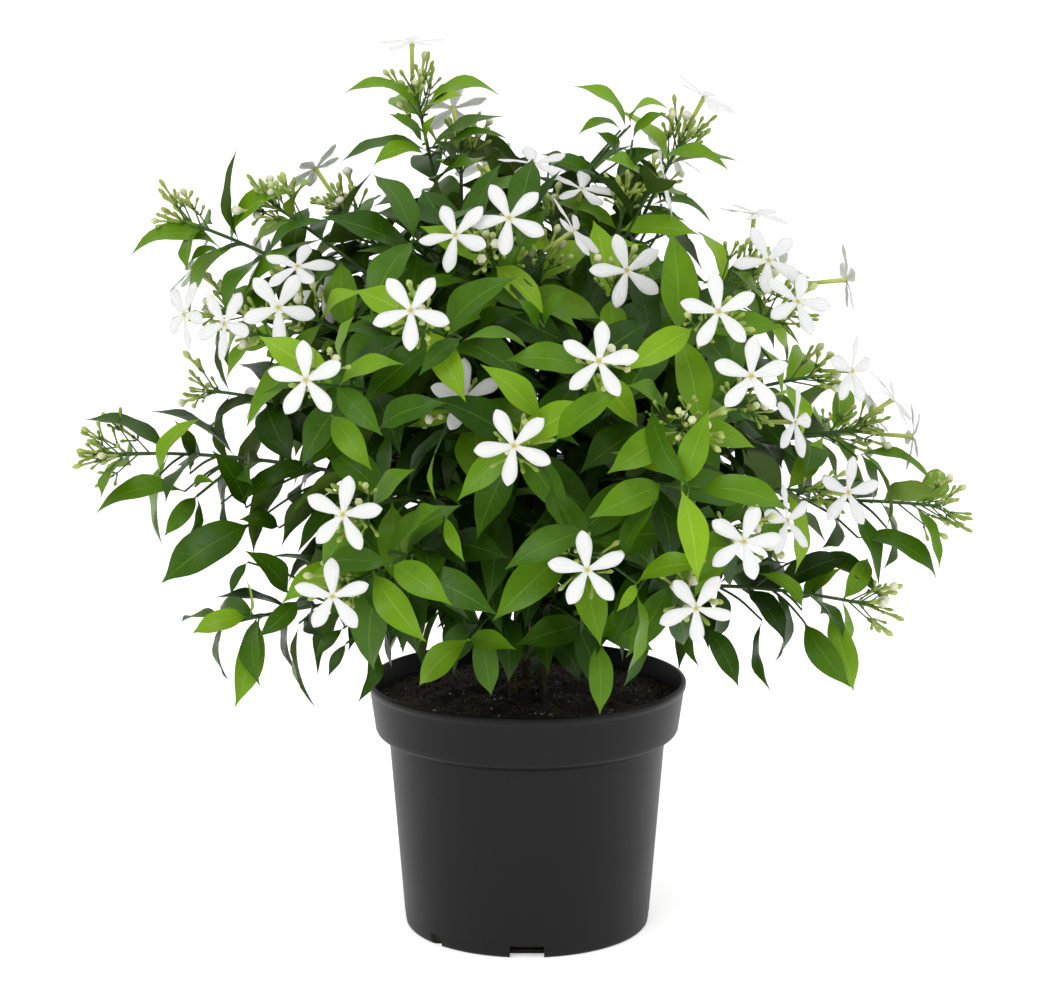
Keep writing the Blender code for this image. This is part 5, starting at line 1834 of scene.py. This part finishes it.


# How pale a leaf is by its place and its depth from the twig's tip: painted light makes outer and high leaves
# paler, and painted shade makes low ones darker
def toneOf(row, depth, more):
    spot = row["root"] / mm
    level, weight, start, span = leafTone["light"]
    # Painted light on the outer crown: only there does a young leaf show its paleness
    outer = min(1.0, max(0.0, (math.hypot(spot.x, spot.y) + (spot.z - level) * weight - start) / span))
    young = max(0.0, 1 - depth * leafTone["ageing"] + more.uniform(*leafTone["ages"]))
    # Painted light that makes high leaves paler
    start, span = leafTone["paintedLightLevels"]
    high = min(1.0, max(0.0, (spot.z - start) / span))
    # Painted shade that makes low leaves darker
    start, span = leafTone["paintedShadeLevels"]
    low = max(0.0, 1 - (spot.z - start) / span)
    chance = more.random() ** leafTone["rarity"]
    tone = leafTone["least"] + leafTone["chance"] * chance + leafTone["young"] * young * outer
    return tone + leafTone["high"] * high - leafTone["low"] * low


def makeShoots(shrub, tree, forms):
    more = random.Random(plant["seed"] + 2)
    values = {
        "Blade form": forms["leaf"], "Bud form": forms["bud"], "Blade width": leafForm["wide"],
        "Blade thickness": leafForm["thick"] / 2 * mm, "Fold": leafForm["fold"], "Arch": 0.0,
        "Ripple": leafForm["ripple"], "Head swelling": budForm["headSwelling"], "Tube sides": 8,
        "Blade finish": makeFinish("glossyLeaf", paintLeaf, **{"Specular IOR Level": 0.15}),
        "Bud finish": makeFinish("greenBud", paintBud, **{"Specular IOR Level": 0.35}),
        "Tube finish": makeFinish("greenTwig", paintTwig, **{"Specular IOR Level": 0.3}),
    }
    least, byLength, byRipeness = budForm["girth"]
    for number, shoot in enumerate(shrub.shoots.values()):
        stands = []
        for row in shoot["leaves"]:
            tone = toneOf(row, row.pop("depth", 0), more)
            lengthened = "tone" in row or (row["root"] / mm).z > leafForm["lengthened"]
            stands.append({
                "tone": tone, **row, "kind": 1,
                "length": row["length"] * (leafForm["longer"] if lengthened else 1.0),
                "droop": row["droop"] * leafForm["bend"],
                "phase": more.uniform(0, fullTurn), "curl": more.uniform(*leafForm["curl"]),
            })
        for row in shoot["buds"]:
            aim, length, ripe = row["aim"], row["length"], row["ripe"]
            stands.append({
                "kind": 2, "root": row["root"] - aim * budForm["sunk"] * mm, "aim": aim, "face": across(aim),
                "length": length, "tone": ripe,
                "thick": (least + byLength * length / (20 * mm) + byRipeness * ripe) * mm,
            })
        runs = [smoothRun(*path, 5 if len(path[0]) < 8 else 1) for path in shoot["paths"]]
        piece = grown(f"leafyShoot{number + 1}", skeleton("shoot", runs, stands), tree, values)
        dress(piece, None, crispAngles["shoot"])
        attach(piece, "root")
        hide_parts(f"shoot_{number + 1}")
        print(piece.name, "made with", len(piece.data.polygons), "faces")


def makeBlooms(shrub, tree, forms):
    more = random.Random(plant["seed"] + 3)
    values = {
        "Blade form": forms["petal"], "Bud form": forms["bud"],
        "Blade width": petal["wide"] / petal["length"] * petalForm["slim"],
        "Blade thickness": petalForm["thick"] / 2 * mm, "Fold": petalForm["fold"],
        "Arch": petal["arch"] * mm, "Ripple": petalForm["ripple"], "Tube sides": 10,
        "Blade finish": makeFinish("whitePetal", paintPetal, **{
            "Specular IOR Level": 0.25, "Subsurface Weight": 0.5,
            "Subsurface Radius": (1, 1, 0.95), "Subsurface Scale": 2 * mm,
        }),
        "Tube finish": makeFinish("flowerTube", paintTube, **{"Specular IOR Level": 0.3}),
    }
    leastDroop = petalForm["leastDroop"]
    for number, bloom in enumerate(shrub.blooms):
        aim, middle = bloom["aim"], bloom["middle"]
        turnFrame = bloomFrame(aim)
        stands = []
        for i, lift in enumerate(bloom["lifts"]):
            turn = math.radians(bloom["spin"] + 360 / petal["count"] * i)
            out = turnFrame @ Vector((math.cos(turn), -math.sin(turn), 0))
            droop = -2 * (lift * petalForm["lively"] + petalForm["cup"]) / petal["length"]
            twist = math.radians(more.uniform(*petalForm["twist"]))
            stands.append({
                "kind": 1, "root": middle, "aim": out, "face": Matrix.Rotation(twist, 3, out) @ aim,
                "length": petal["length"] * petalForm["longer"] * mm,
                "droop": droop if abs(droop) > leastDroop else leastDroop,
                "phase": more.uniform(0, fullTurn), "curl": more.uniform(*petalForm["curl"]),
                "stretch": more.uniform(*petalForm["stretch"]),
            })
        foot = middle - aim * petal["tube"] * mm
        inner = [foot + (middle - foot) * share for share in petalForm["tubeShares"]]
        neck = [foot, *inner, middle + aim * petalForm["tubeEnd"] * mm]
        run = smoothRun(neck, petalForm["tubeRadii"], petalForm["tubeTones"], 4)
        piece = grown(f"flower{number + 1:02d}", skeleton("flower", [run], stands), tree, values)
        dress(piece, None, crispAngles["flower"])
        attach(piece, "root")
        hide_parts(f"bloom_{number + 1:02d}")
    print("blooms made:", len(shrub.blooms))


# The least and the most stretch of a grain along its three axes, and how fine its bumps are
grainForm = {"stretch": ((0.55, 0.45, 0.35), (1.3, 0.9, 0.7)), "bumps": 900.0}

# How the grains lie: how many to a square metre, and sizes and places in metres
grains = {
    "soilCrumbs": {
        "Density": 110000.0, "Smallest": 0.9 * mm, "Largest": 3.2 * mm, "Flatness": 0.5 * mm,
        "Reach": 0.0925, "Lowest": 0.14, "Roundness": 1, "Seed": 3,
    },
    "perlite": {
        "Density": 5200.0, "Smallest": 0.8 * mm, "Largest": 2.4 * mm, "Flatness": 0.3 * mm,
        "Reach": 0.092, "Lowest": 0.14, "Roundness": 2, "Seed": 8,
    },
}


def makeGrains(bed, tree):
    finishes = {
        "soilCrumbs": makeFinish("soilCrumb", paintChips),
        "perlite": makeFinish("perlite", paintPerlite),
    }
    for name, values in grains.items():
        piece = grown(name, bed.data.copy(), tree, {**values, "Finish": finishes[name]})
        dress(piece, None, crispAngles["grains"])
        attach(piece, "root")
        print(name, "made with", len(piece.data.polygons), "faces")


floor = makeStudio()
floor.data.materials.append(makeFinish("paleFloor", paintFloor, **{
    "Specular IOR Level": 0.1, "Emission Color": (1, 1, 1, 1), "Emission Strength": studio["floorGlow"],
}))
makePot()
bed = makeSoil()
makeGrains(bed, grainTree())
growth = growthTree()
makeStems(growth)
shrub = Shrub()
shrub.grow()
thicken(shrub)
forms = {
    "leaf": bladeForm("leafForm", leafForm),
    "petal": bladeForm("petalForm", petalForm),
    "bud": budShape("budForm"),
}
makeShoots(shrub, growth, forms)
makeBlooms(shrub, growth, forms)
for form in forms.values():
    bpy.data.objects.remove(form)
